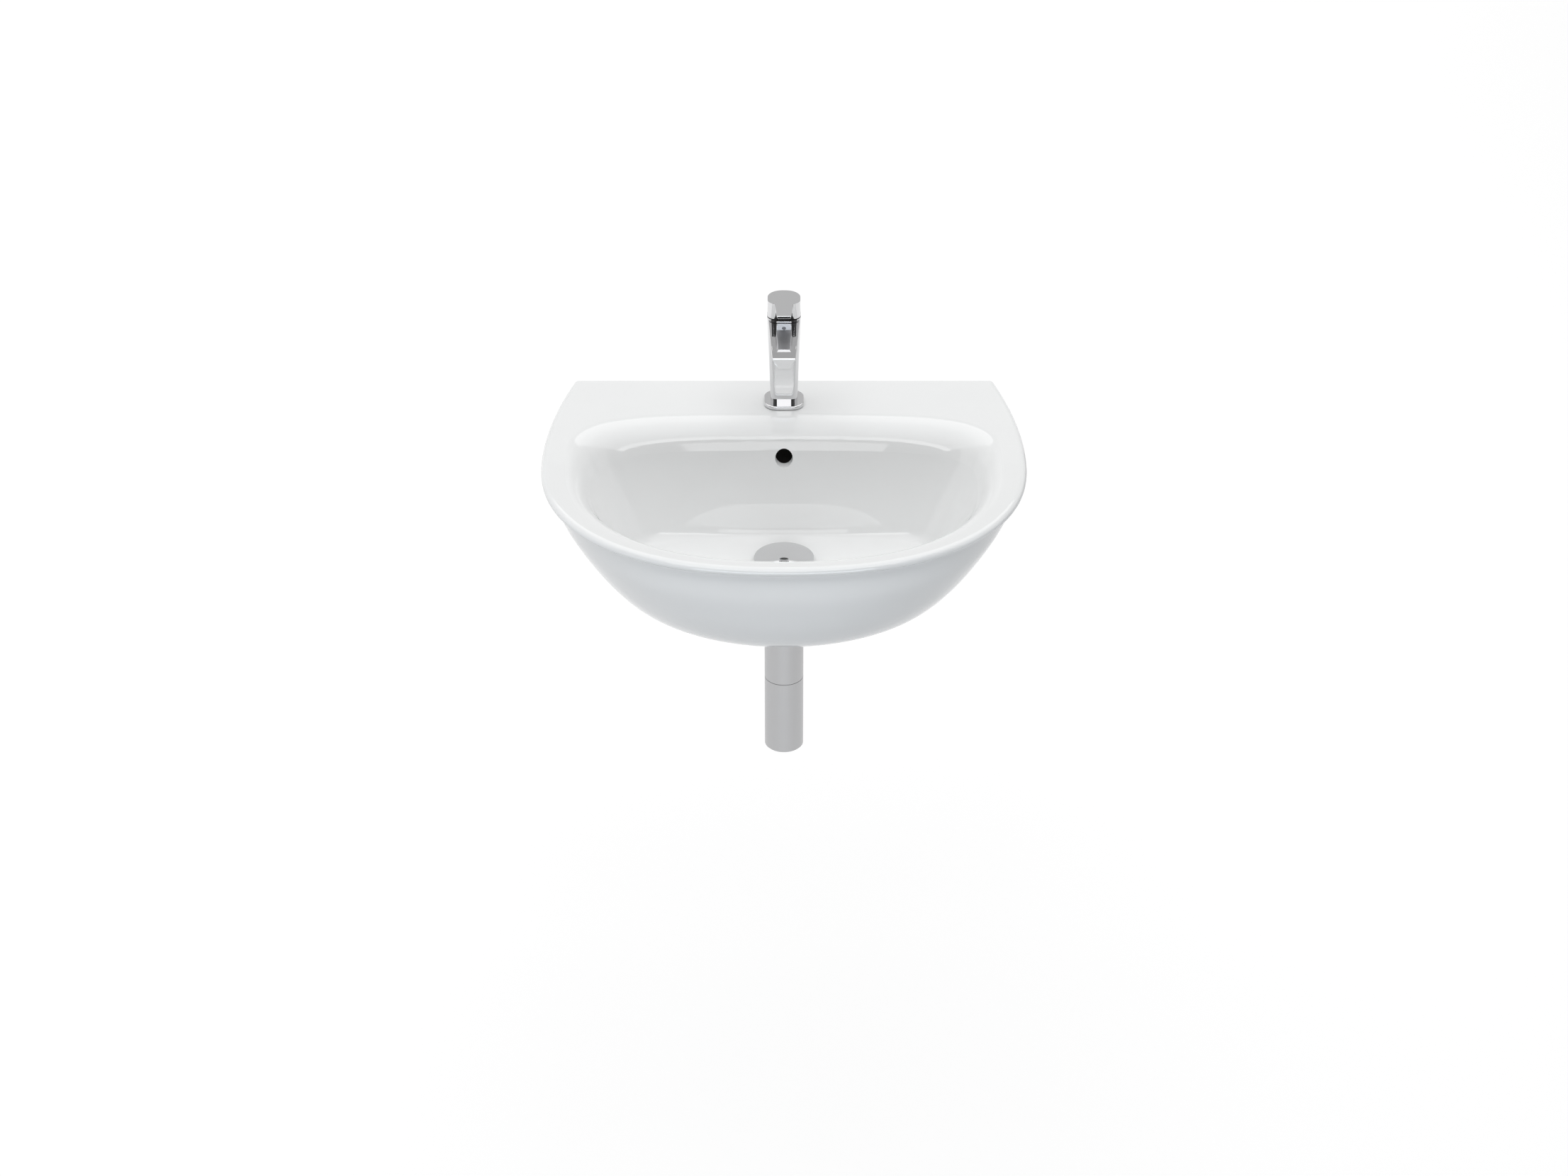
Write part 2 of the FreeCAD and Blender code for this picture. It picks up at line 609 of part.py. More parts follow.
def china():
    """The hollow china: outside, rim, deck, bowl, open underside and overflow duct."""
    deck = size(DECK)
    wall = size("china_thickness")
    floor_depth = size("basin_height - bowl_bottom - floor_fall")
    drain_depth = size("basin_height - bowl_bottom")
    band = size("rim_band")
    foot = size("basin_height")

    lip = [
        size("basin_width / 2 - rim_side"),
        size(DECK_DEPTH),
        size("basin_depth - rim_front"),
        size("bowl_line"),
        size("lip_power"),
        size("rim_power"),
    ]
    roll = size("lip_roll")
    top = [lip[0] - roll, lip[1] + size("lip_back"), lip[2] - roll, lip[3], size("bowl_power"), lip[5]]
    floor = [
        top[0] - size("lean_side"),
        top[1] + size("lean_back"),
        top[2] - size("lean_front"),
        size("floor_line"),
        size("floor_power"),
        lip[5],
    ]
    drain = size("drain_line")
    spot = size(DRAIN_FLAT)
    sump = [spot, drain - spot, drain + spot, drain, 2, 2]

    def wall_form(depth, out):
        half, back, front, line, back_power, front_power = mix(top, floor, depth / floor_depth)
        return [half + out, back - out, front + out, line, back_power, front_power]

    bowl_knots = lengths(bowl_points(lip) + bowl_points(lip)[:1])
    outer_knots = lengths(outer_points(rim_form(0)))

    def bowl_ring(form, level):
        return ring(bowl_points(form), level, bowl_knots)

    def outer_ring(form, level):
        return ring(outer_points(form), level, outer_knots)

    lip_end = wall_form(size("lip_depth"), 0)
    lip_rings = [
        bowl_ring(blend(lip, top, lip_end, step / 4), deck - size("lip_depth") * (step / 4) ** 2)
        for step in range(5)
    ]
    round_start = floor_depth - size("floor_round")
    shelf = mix(floor, sump, 0.2)
    floor_rings = []
    for step in range(4):
        level = blend(
            [round_start], [floor_depth], [floor_depth + size("floor_fall") * 0.2], step / 3
        )[0]
        floor_rings.append(bowl_ring(blend(wall_form(round_start, 0), floor, shelf, step / 3), deck - level))
    sump_ring = bowl_ring(sump, deck - drain_depth)

    lean = math.hypot(size("lean_back"), floor_depth) / floor_depth
    out = wall * lean
    corner_depth = floor_depth + wall
    under_start = corner_depth - size("floor_round") - wall / 2
    under_floor = wall_form(corner_depth, out)
    under_sump = [spot + wall, drain - spot - wall, drain + spot + wall, drain, 2, 2]
    under_shelf = mix(under_floor, under_sump, 0.2)
    under_rings = []
    for step in range(4):
        level = blend(
            [under_start], [corner_depth], [corner_depth + size("floor_fall") * 0.2], step / 3
        )[0]
        form = blend(wall_form(under_start, out), under_floor, under_shelf, step / 3)
        under_rings.append(bowl_ring(form, deck - level))
    under_top = bowl_ring(wall_form(size("deck_thickness"), out), deck - size("deck_thickness"))
    under_sump_ring = bowl_ring(under_sump, deck - drain_depth - wall)

    steps = [1 - (1 - step / 9) ** 2 for step in range(10)]
    outer = [outer_ring(outer_form(step, 0, 0), deck - band - (foot - band) * step) for step in steps]
    back = size("back_thickness")
    ledge = foot - wall
    start = (size("deck_thickness") - band) / (ledge - band)
    inner = [
        outer_ring(
            outer_form(start + (1 - start) * step, wall, back),
            deck - band - (ledge - band) * (start + (1 - start) * step),
        )
        for step in steps
    ]
    mouth_form = outer_form(1, 0, back + size("foot_ledge"))
    mouth_form[:3] = [amount - size("foot_ledge") for amount in mouth_form[:3]]
    mouth_top = outer_ring(mouth_form, deck - ledge)
    mouth = outer_ring(mouth_form, deck - foot)

    drop = size("rim_drop")
    nose_top = []
    nose_under = []
    for step in range(5):
        angle = math.pi / 8 * step
        inset = size("rim_inset") * (1 - math.sin(angle))
        nose_top.append(outer_ring(rim_form(inset), deck - drop * (1 - math.cos(angle))))
        nose_under.append(
            outer_ring(
                rim_form(size("rim_overhang") * (1 - math.cos(angle))),
                deck - drop - (band - drop) * math.sin(angle),
            )
        )
    nose_under[-1] = outer[0]

    faces = skin(outer) + skin(nose_top) + skin(nose_under)
    faces += flat(nose_top[0], lip_rings[0]) + skin(lip_rings)
    faces += skin([lip_rings[-1], floor_rings[0]], True) + skin(floor_rings)
    faces += skin([floor_rings[-1], sump_ring], True) + flat(sump_ring)
    faces += flat(under_sump_ring) + skin([under_rings[-1], under_sump_ring], True) + skin(under_rings)
    faces += skin([under_top, under_rings[0]], True) + flat(inner[0], under_top) + skin(inner)
    faces += flat(inner[-1], mouth_top) + skin([mouth_top, mouth], True) + flat(outer[-1], mouth)
    shell = Part.makeCompound(faces)
    shell.sewShape(0.001)
    body = Part.makeSolid(shell.Shells[0])
    if body.Volume < 0:
        body.reverse()

    def wall_at(depth):
        return -(top[1] + size("lean_back") * depth / floor_depth)

    # The overflow's duct: a rib behind the bowl that leads down to the drain's boss.
    rib = size("duct_gap + duct_wall")
    sunk = size("overcut")
    high = size("overflow_depth - overflow_radius - overflow_lid")
    low = size("basin_height - boss_lift")
    middle = wall / 2
    rib_outline = [
        (wall_at(high) + out / 2, deck - high),
        (wall_at(high) + out + rib, deck - high),
        (wall_at(low) + out + rib, deck - low),
        (-drain + size(DRAIN_HOLE) - sunk, deck - low),
        (-drain + size(DRAIN_HOLE) - sunk, deck - drain_depth - middle),
        (-floor[1] - middle, deck - floor_depth - middle),
        (wall_at(floor_depth) + out / 2, deck - floor_depth),
    ]
    lid = high + size("duct_wall")
    sill = low - size("duct_wall")
    roof = drain_depth + wall + size("duct_clear")
    skin_left = size("duct_skin")
    duct_outline = [
        (wall_at(lid) + out + skin_left, deck - lid),
        (wall_at(lid) + out + size("duct_gap"), deck - lid),
        (wall_at(sill) + out + size("duct_gap"), deck - sill),
        (-drain + size(DRAIN_HOLE) / 2, deck - sill),
        (-drain + size(DRAIN_HOLE) / 2, deck - roof),
        (wall_at(roof) + out + skin_left, deck - roof),
    ]
    boss = Part.makeCylinder(
        size(BOSS_RADIUS), low - drain_depth - middle, Vector(0, -drain, deck - low)
    )
    body = body.fuse([boss, prism(rib_outline, size("duct_width + 2 * duct_wall"))])
    depth = size("overflow_depth")
    inward = Vector(0, 1, 0)
    hole = Part.makeCylinder(
        size("overflow_radius"),
        2 * wall + size("duct_gap") * 0.65,
        Vector(0, wall_at(depth), deck - depth) - inward * wall,
        inward,
    )
    return body.cut([hole, prism(duct_outline, size("duct_width"))]).removeSplitter()


def loop(half, back, front, radius, near, level):
    """A rounded rectangle about the tap's axis."""
    axis = size(TAP)

    def point(x, y):
        return Vector(x, axis + y, level)

    def line(first, second):
        return Part.LineSegment(point(*first), point(*second)).toShape()

    def corner(x, y, across, along, bend):
        side = (x + bend * across, y)
        end = (x, y + bend * along)
        middle = (x + bend * across * math.sqrt(0.5), y + bend * along * math.sqrt(0.5))
        first, last = (side, end) if across * along > 0 else (end, side)
        return Part.Arc(point(*first), point(*middle), point(*last)).toShape()

    inner = half - radius
    edges = [corner(inner, back - radius, 1, 1, radius), line((inner, back), (-inner, back))]
    edges.append(corner(-inner, back - radius, -1, 1, radius))
    inner = half - near
    edges.append(line((-half, back - radius), (-half, near - front)))
    edges.append(corner(-inner, near - front, -1, -1, near))
    edges.append(line((-inner, -front), (inner, -front)))
    edges.append(corner(inner, near - front, 1, -1, near))
    edges.append(line((half, near - front), (half, back - radius)))
    return Part.Wire(edges)


def gate(forward, top, high, top_width, belly, radius):
    """An upright trapezium across the spout or the lever, with rounded corners."""
    y = size(TAP) - forward
    corners = [
        Vector(top_width / 2, y, top),
        Vector(-top_width / 2, y, top),
        Vector(-belly / 2, y, top - high),
        Vector(belly / 2, y, top - high),
    ]
    edges = []
    ends = []
    for index, corner in enumerate(corners):
        before = (corners[index - 1] - corner).normalize()
        after = (corners[(index + 1) % 4] - corner).normalize()
        half_angle = before.getAngle(after) / 2
        reach = radius / math.tan(half_angle)
        inward = (before + after).normalize()
        middle = corner + inward * (radius / math.sin(half_angle) - radius)
        ends.append((corner + before * reach, middle, corner + after * reach))
    for index, (start, middle, stop) in enumerate(ends):
        edges.append(Part.Arc(start, middle, stop).toShape())
        edges.append(Part.LineSegment(stop, ends[(index + 1) % 4][0]).toShape())
    return Part.Wire(edges)


def edges_at(shape, y):
    """The edges of a shape that lie in one plane across the tap."""
    return [edge for edge in shape.Edges if all(abs(corner.Y - y) < 1e-6 for corner in edge.Vertexes)]


def column_and_spout():
    """The tap's body: a column that widens upwards and a beak with a nearly level top."""
    deck = size(DECK)
    half = size(COLUMN_FOOT)
    wide = size(COLUMN_SIDE)
    base = size("column_base_corner")
    foot = loop(half, half, half, base, base, size(DECK + " + gasket + plate_height"))
    near = size("column_front_corner")
    top = deck + size("column_height")
    head = loop(wide, size(COLUMN_BACK), size(COLUMN_FACE), size("column_corner"), near, top)
    column = Part.makeLoft([foot, head], True, True)
    top = size(SPOUT_TOP)
    reach = size("spout_reach")
    knee = size("spout_knee")
    start = half - size("spout_sunk")
    share = (knee - start) / (reach - start)
    fall = size("spout_fall")
    belly = [size("spout_belly"), size("spout_tip_belly")]
    width = [size("spout_width"), size("spout_tip_width")]
    radius = size("spout_corner")
    rings = [
        gate(start, top, size("spout_root"), width[0], belly[0], radius),
        gate(
            knee,
            top - fall * share,
            size("spout_tip + knee_swell") + fall * (1 - share),
            width[0] + (width[1] - width[0]) * share,
            belly[0] + (belly[1] - belly[0]) * share + size("knee_flare"),
            radius,
        ),
        gate(reach, top - fall, size("spout_tip"), width[1], belly[1], radius),
    ]
    spout = Part.makeLoft(rings, True, True)
    spout = spout.makeFillet(size("spout_edge"), edges_at(spout, size(TAP) - reach))
    shank = Part.makeCylinder(
        size("shank_radius"),
        size("shank_length + gasket + plate_height"),
        Vector(0, size(TAP), deck - size("shank_length")),
    )
    return column.fuse([spout, shank])


def spout_waterway():
    """The mixed water's way from the cartridge's floor to the aerator."""
    axis = size(TAP)
    floor = size("fixing_drop + bore_floor")
    port = Vector(0, axis - size("outlet_forward"), floor - size("outlet_fall"))
    nozzle = Vector(0, size(NOZZLE), size(NOZZLE_FLOOR + " + aerator_height + aerator_washer"))
    bend_point = Vector(0, axis - size("spout_knee - waterway_turn"), nozzle.z - size("waterway_dip"))
    drop = Part.makeCylinder(size("outlet_radius"), size("outlet_fall"), port)
    rise = bend_point - port
    run = nozzle - bend_point
    first = Part.makeCylinder(size("channel_radius"), rise.Length, port, rise)
    second = Part.makeCylinder(size("outlet_radius"), run.Length, bend_point, run)
    joint = Part.makeSphere(size("channel_radius"), bend_point)
    return drop.fuse([first, second, joint])


def handle_blank():
    """The handle: a rounded cap with a flat tongue of a lever, level with its top."""
    bottom = size(HANDLE)
    top = bottom + size("handle_height")
    half = size(COLUMN_BACK)
    radius = size("column_corner")
    near = size("column_front_corner")
    skirt = loop(half, half, size(COLUMN_FACE), radius, near, bottom)
    slope = half - size("crown_taper")
    crown = loop(slope, slope, size(COLUMN_FACE + " - crown_taper"), radius, near, top)
    cap = Part.makeLoft([skirt, crown], True, True)
    slim = size("lever_belly")
    end_width = size("lever_end")
    taper = size(f"(lever_root - lever_end) / (lever_reach - {COLUMN_FACE})")
    root_width = size("lever_root") + taper * size("lever_sunk")
    start = size(COLUMN_FACE + " - lever_sunk")
    root = gate(start, top, size("lever_root_height"), root_width, root_width - slim, size("lever_edge"))
    tip = gate(
        size("lever_reach"), top, size("lever_end_height"), end_width, end_width - slim, size("lever_edge")
    )
    lever = Part.makeLoft([root, tip], True, True)
    lever = lever.makeFillet(size("lever_tip_edge"), edges_at(lever, size(TAP + " - lever_reach")))
    hollow = Part.makeCylinder(
        half - size("handle_wall"),
        size("handle_height - handle_roof"),
        Vector(0, size(TAP), bottom),
    )
    boss = Part.makeCylinder(
        size("socket_radius"),
        size("handle_height - handle_roof - socket_drop"),
        Vector(0, size(TAP), bottom + size("socket_drop")),
    )
    wedge = Part.makeBox(4 * half, 4 * half, 2 * half, Vector(-2 * half, 0, -2 * half))
    wedge.rotate(Vector(0, 0, 0), Vector(1, 0, 0), size("lift_angle"))
    wedge.translate(Vector(0, size(TAP + " - bevel_forward"), bottom))
    return cap.fuse(lever).cut(hollow).fuse(boss).cut(wedge).removeSplitter()


def ports(name, radius, low, high):
    """Bores for the two inlets and the mixed water through a cartridge piece."""
    span = f"{high} - {low}"
    return [
        cylinder(name + "_right", radius, span, ("inlet_spacing / 2", INLET, low)),
        cylinder(name + "_left", radius, span, ("-inlet_spacing / 2", INLET, low)),
        cylinder(name + "_mixed", radius, span, ("0", "-tap_line - outlet_forward", low)),
    ]


def make_basin():
    blank = solid("basin_blank", china())
    deck_spot = ("0", TAP, f"{DECK} - deck_thickness - overcut")
    recess_spot = ("0", DRAIN, f"{DRAIN_FLOOR} - recess_depth")
    drain_spot = ("0", DRAIN, f"{BOSS} - overcut")
    tools = [
        cylinder("tap_hole", TAP_HOLE, "deck_thickness + 2 * overcut", deck_spot),
        cylinder("flange_recess", RECESS, "recess_depth + overcut", recess_spot),
        cylinder("drain_hole", DRAIN_HOLE, "bowl_bottom + 2 * overcut", drain_spot),
    ]
    for side, sign in (("right", ""), ("left", "-")):
        spot = (sign + "fixing_spacing / 2", "-back_thickness - overcut", "0")
        tools.append(cylinder("stud_hole_" + side, STUD_HOLE, "back_thickness + 2 * overcut", spot, TO_WALL))
    keep(cut("basin", blank, tools), "basin")


def make_wall_fixings():
    side = "fixing_spacing / 2"
    bore = "stud_radius + thread_play"
    flange = "-back_thickness - bush_flange"
    washer = f"{flange} - fixing_washer"
    stud_length = "stud_in_room + stud_in_wall"
    outline = [
        ("0", "0"),
        ("stud_radius", "0"),
        ("stud_radius", "stud_in_room"),
        ("stud_radius - stud_step", "stud_in_room"),
        ("stud_radius - stud_step", stud_length),
        ("0", stud_length),
    ]
    pair("wall_studs", turned("stud", outline, (side, "-stud_in_room", "0"), TO_WALL))
    sleeve = f"{STUD_HOLE} - thread_play"
    sleeve_end = "bush_flange + back_thickness - sleeve_short"
    outline = [
        (bore, "0"),
        (BUSH_FLANGE, "0"),
        (BUSH_FLANGE, "bush_flange"),
        (sleeve, "bush_flange"),
        (sleeve, sleeve_end),
        (bore, sleeve_end),
    ]
    pair("fixing_bushes", turned("bush", outline, (side, flange, "0"), TO_WALL))
    ring = tube("washer", bore, BUSH_FLANGE, "fixing_washer", (side, washer, "0"), TO_WALL)
    pair("fixing_washers", ring)
    nut_spot = (side, f"{washer} - fixing_nut", "0")
    nut = hexagon("nut_blank", "2 * (stud_radius + fixing_nut_wall)", "fixing_nut", nut_spot, TO_WALL)
    hole = cylinder("nut_hole", bore, "fixing_nut", nut_spot, TO_WALL)
    pair("fixing_nuts", cut("nut", nut, [hole]))


def rounded_plate(name, across, along, corner, high, edge=None):
    """A plate with rounded corners about its own Z; an edge rounds its top."""
    body = doc.addObject("PartDesign::Body", name)
    sketch = body.newObject("Sketcher::SketchObject", name + "_outline")
    sketch.AttachmentSupport = (plane(body, "XY_Plane"), [""])
    sketch.MapMode = "FlatFace"
    half_width = size(across) / 2
    half_depth = size(along) / 2
    corners = [
        (half_width, half_depth),
        (-half_width, half_depth),
        (-half_width, -half_depth),
        (half_width, -half_depth),
    ]
    for start, end in zip(corners, corners[1:] + corners[:1]):
        sketch.addGeometry(Part.LineSegment(Vector(*start, 0), Vector(*end, 0)))
    for index in range(4):
        sketch.addConstraint(Sketcher.Constraint("Coincident", index, 2, (index + 1) % 4, 1))
        sketch.addConstraint(Sketcher.Constraint("Vertical" if index % 2 else "Horizontal", index))
    sketch.addConstraint(Sketcher.Constraint("Symmetric", 0, 1, 2, 1, -1, 1))
    width = sketch.addConstraint(Sketcher.Constraint("DistanceX", 0, 2, 0, 1, 2 * half_width))
    depth = sketch.addConstraint(Sketcher.Constraint("DistanceY", 1, 2, 1, 1, 2 * half_depth))
    bind(sketch, f"Constraints[{width}]", across)
    bind(sketch, f"Constraints[{depth}]", along)
    pad = body.newObject("PartDesign::Pad", name + "_pad")
    pad.Profile = sketch
    bind(pad, "Length", high)
    doc.recompute()
    upright = [
        f"Edge{number}"
        for number, side in enumerate(pad.Shape.Edges, 1)
        if abs(side.Vertexes[0].Z - side.Vertexes[-1].Z) > 1e-6
    ]
    corners = body.newObject("PartDesign::Fillet", name + "_corners")
    corners.Base = (pad, upright)
    bind(corners, "Radius", corner)
    if edge:
        doc.recompute()
        faces = corners.Shape.Faces
        top = max(range(len(faces)), key=lambda index: faces[index].CenterOfMass.z)
        rim = body.newObject("PartDesign::Fillet", name + "_edges")
        rim.Base = (corners, [f"Face{top + 1}"])
        bind(rim, "Radius", edge)
    return body


def make_tap_body():
    hole = "shank_radius + thread_play"
    plate = rounded_plate("plate", "plate_width", "plate_depth", "plate_corner", "plate_height", "plate_edge")
    place(plate, ("0", PLATE, f"{DECK} + gasket"))
    bore = cylinder("plate_hole", hole, "plate_height", ("0", TAP, f"{DECK} + gasket"))
    keep(cut("base_plate", plate, [bore]), "base_plate")
    inset = "2 * gasket_inset"
    seal = rounded_plate(
        "gasket_blank",
        f"plate_width - {inset}",
        f"plate_depth - {inset}",
        "plate_corner - gasket_inset",
        "gasket",
    )
    place(seal, ("0", PLATE, DECK))
    bore = cylinder("gasket_hole", hole, "gasket", ("0", TAP, DECK))
    keep(cut("base_gasket", seal, [bore]), "base_gasket")

    blank = solid("tap_blank", column_and_spout())
    low = f"{DECK} - shank_length"
    seat = f"{DECK} + bore_floor"
    clamp_depth = "shank_length + clamp_in_body + clamp_end"
    tools = [
        cylinder("cartridge_bore", "bore_radius", "column_height - bore_floor + overcut", ("0", TAP, seat)),
        solid("spout_waterway", spout_waterway()),
        cylinder("clamp_hole", "clamp_radius + thread_play", clamp_depth, ("0", CLAMP, low)),
        cylinder(
            "nozzle_bore",
            "aerator_radius + thread_play",
            "aerator_height + aerator_washer + aerator_sunk + overcut",
            ("0", NOZZLE, f"{NOZZLE_FLOOR} - aerator_sunk - overcut"),
        ),
    ]
    for side, sign in (("right", ""), ("left", "-")):
        x = sign + "inlet_spacing / 2"
        mouth = "inlet_radius + inlet_mouth_play"
        tools.append(cylinder("inlet_mouth_" + side, mouth, "inlet_mouth", (x, INLET, low)))
        tools.append(cylinder("inlet_" + side, "inlet_radius", "inlet_mouth + inlet_length", (x, INLET, low)))
        rise = "bore_floor + shank_length + overcut"
        tools.append(cylinder("waterway_" + side, "waterway_radius", rise, (x, INLET, low)))
    keep(cut("tap_body", blank, tools), "tap_body")

    spot = ("0", NOZZLE, NOZZLE_FLOOR)
    inner = "aerator_radius - aerator_wall"
    keep(tube("aerator_housing", inner, "aerator_radius", "aerator_height", spot), "aerator_housing")
    mesh_spot = ("0", NOZZLE, f"{NOZZLE_FLOOR} + insert_inset")
    mesh_height = "aerator_height - 2 * insert_inset"
    keep(cylinder("aerator_insert", f"{inner} - thread_play", mesh_height, mesh_spot), "aerator_insert")
    washer_spot = ("0", NOZZLE, f"{NOZZLE_FLOOR} + aerator_height")
    washer = tube("aerator_washer", "channel_radius", "aerator_radius", "aerator_washer", washer_spot)
    keep(washer, "aerator_washer")


def horseshoe(name, high, level):
    disc = cylinder(name + "_disc", SHOE_RADIUS, high, ("0", TAP, level))
    across = "inlet_spacing + 2 * (inlet_radius + hose_room)"
    slot_spot = ("0", f"{TAP} - {SHOE_RADIUS}", level)
    slot = block(name + "_slot", across, f"{SHOE_RADIUS} + slot_back", high, slot_spot)
    hole = cylinder(name + "_hole", "clamp_radius + thread_play", high, ("0", CLAMP, level))
    keep(cut(name, disc, [slot, hole]), name)


def make_tap_clamp():
    under = f"({DECK} - deck_thickness - shoe_gasket)"
    plate = f"({under} - shoe_plate)"
    horseshoe("horseshoe_gasket", "shoe_gasket", under)
    horseshoe("horseshoe_plate", "shoe_plate", plate)
    top = f"{DECK} + clamp_in_body"
    stud = cylinder("clamp_stud", "clamp_radius", "clamp_length", ("0", CLAMP, f"{top} - clamp_length"))
    keep(stud, "clamp_stud")
    spot = ("0", CLAMP, f"{plate} - clamp_nut")
    nut = hexagon("clamp_nut_blank", "2 * (clamp_radius + clamp_nut_wall)", "clamp_nut", spot)
    hole = cylinder("clamp_nut_hole", "clamp_radius + thread_play", "clamp_nut", spot)
    keep(cut("clamp_nut", nut, [hole]), "clamp_nut")


def make_cartridge():
    seat = f"({DECK} + bore_floor)"
    for name, low, high, radius in (
        ("cartridge_seal", seat, CARTRIDGE, CARTRIDGE_RADIUS),
        ("cartridge_base", CARTRIDGE, HOUSING, CARTRIDGE_RADIUS),
        ("fixed_disc", HOUSING, f"({HOUSING} + disc_height)", f"{HOUSING_BORE} - disc_play"),
    ):
        disc = cylinder(name + "_blank", radius, f"{high} - {low}", ("0", TAP, low))
        keep(cut(name, disc, ports(name, "waterway_radius", low, high)), name)
    outline = [
        (HOUSING_BORE, "0"),
        (CARTRIDGE_RADIUS, "0"),
        (CARTRIDGE_RADIUS, "housing_height"),
        (HOUSING_MOUTH, "housing_height"),
        (HOUSING_MOUTH, "housing_height - housing_lip"),
        (HOUSING_BORE, "housing_height - housing_lip"),
    ]
    keep(turned("cartridge_housing", outline, ("0", TAP, HOUSING)), "cartridge_housing")

    outline = [
        ("0", "disc_height"),
        (SLIDER_RADIUS, "disc_height"),
        (SLIDER_RADIUS, "0"),
        (f"{SLIDER_RADIUS} - pocket_wall", "0"),
        (f"{SLIDER_RADIUS} - pocket_wall", "disc_height / 2"),
        ("0", "disc_height / 2"),
    ]
    keep(turned("moving_disc", outline, ("0", TAP, SLIDER)), "moving_disc")
    carrier = f"({SLIDER} + disc_height)"
    ball = f"({PIVOT} - stem_arm)"
    pit = f"{ball} - ball_radius - ball_play - {carrier}"
    hole = "ball_radius + ball_play"
    outline = [
        ("0", "0"),
        (SLIDER_RADIUS, "0"),
        (SLIDER_RADIUS, "disc_height"),
        (hole, "disc_height"),
        (hole, pit),
        ("0", pit),
    ]
    keep(turned("disc_carrier", outline, ("0", TAP, carrier)), "disc_carrier")

    outer = f"{HOUSING_BORE} - rotor_play"
    neck = f"{HOUSING_MOUTH} - rotor_play"
    outline = [
        ("0", "0"),
        (outer, "0"),
        (outer, "rotor_height"),
        (neck, "rotor_height"),
        (neck, "rotor_height + neck_height"),
        ("0", "rotor_height + neck_height"),
    ]
    rotor = turned("rotor_blank", outline, ("0", TAP, ROTOR))
    swing = "stem_depth / 2 + stem_room"
    slot = block(
        "rotor_slot",
        "stem_width + 2 * stem_play",
        f"2 * ({swing})",
        "rotor_height + neck_height + 2 * overcut",
        ("0", f"{TAP} - ({swing}) - slot_forward", f"{ROTOR} - overcut"),
    )
    pin_spot = (f"-{PIVOT_LENGTH} / 2", TAP, PIVOT)
    pin_hole = cylinder("rotor_pin_hole", "pivot_radius + pin_fit", PIVOT_LENGTH, pin_spot, TO_RIGHT)
    keep(cut("rotor", rotor, [slot, pin_hole]), "rotor")
    keep(cylinder("pivot_pin", "pivot_radius", PIVOT_LENGTH, pin_spot, TO_RIGHT), "pivot_pin")

    foot = f"({ROTOR} + stem_lift)"
    bar_spot = ("0", f"{TAP} - stem_depth / 2", foot)
    bar = block("stem_bar", "stem_width", "stem_depth", f"{DECK} + stem_top - {foot}", bar_spot)
    rod = cylinder("stem_rod", "rod_radius", f"{foot} - {ball} + stem_lift", ("0", TAP, ball))
    knob = doc.addObject("Part::Sphere", "stem_ball")
    bind(knob, "Radius", "ball_radius")
    place(knob, ("0", TAP, ball))
    hole = cylinder("stem_pin_hole", "pivot_radius + thread_play", PIVOT_LENGTH, pin_spot, TO_RIGHT)
    keep(cut("lever_stem", fuse("stem_blank", [bar, rod, knob]), [hole]), "lever_stem")

    nut = f"({HOUSING} + housing_height)"
    bore = f"{HOUSING_MOUTH} + nut_step"
    keep(tube("cartridge_nut", bore, CARTRIDGE_RADIUS, "nut_height", ("0", TAP, nut)), "cartridge_nut")
    bore = f"{HOUSING_MOUTH} + cover_step"
    cover = ("0", TAP, f"{nut} + nut_height")
    keep(tube("cover_ring", bore, CARTRIDGE_RADIUS, "cover_height", cover), "cover_ring")


def make_handle():
    blank = solid("handle_blank", handle_blank())
    across = "stem_width + 2 * thread_play"
    along = "stem_depth + 2 * thread_play"
    rise = f"{DECK} + stem_top - {HANDLE}"
    socket = block("stem_socket", across, along, rise, ("0", f"{TAP} - ({along}) / 2", HANDLE))
    level = f"({HANDLE} + screw_height)"
    front = f"{TAP} - stem_depth / 2"
    hole_length = f"{COLUMN_FACE} + overcut"
    hole = cylinder("screw_hole", "screw_radius + thread_play", hole_length, ("0", TAP, level), TO_ROOM)
    keep(cut("lever_handle", blank, [socket, hole]), "lever_handle")
    screw = cylinder("handle_screw", "screw_radius", "screw_length", ("0", front, level), TO_ROOM)
    keep(screw, "handle_screw")
    set_back = f"{HANDLE_LEAN} * (screw_height + screw_radius)"
    face = f"{TAP} - {COLUMN_FACE} + {set_back} + button_length"
    button = cylinder("colour_button", "screw_radius", "button_length", ("0", face, level), TO_ROOM)
    keep(button, "colour_button")


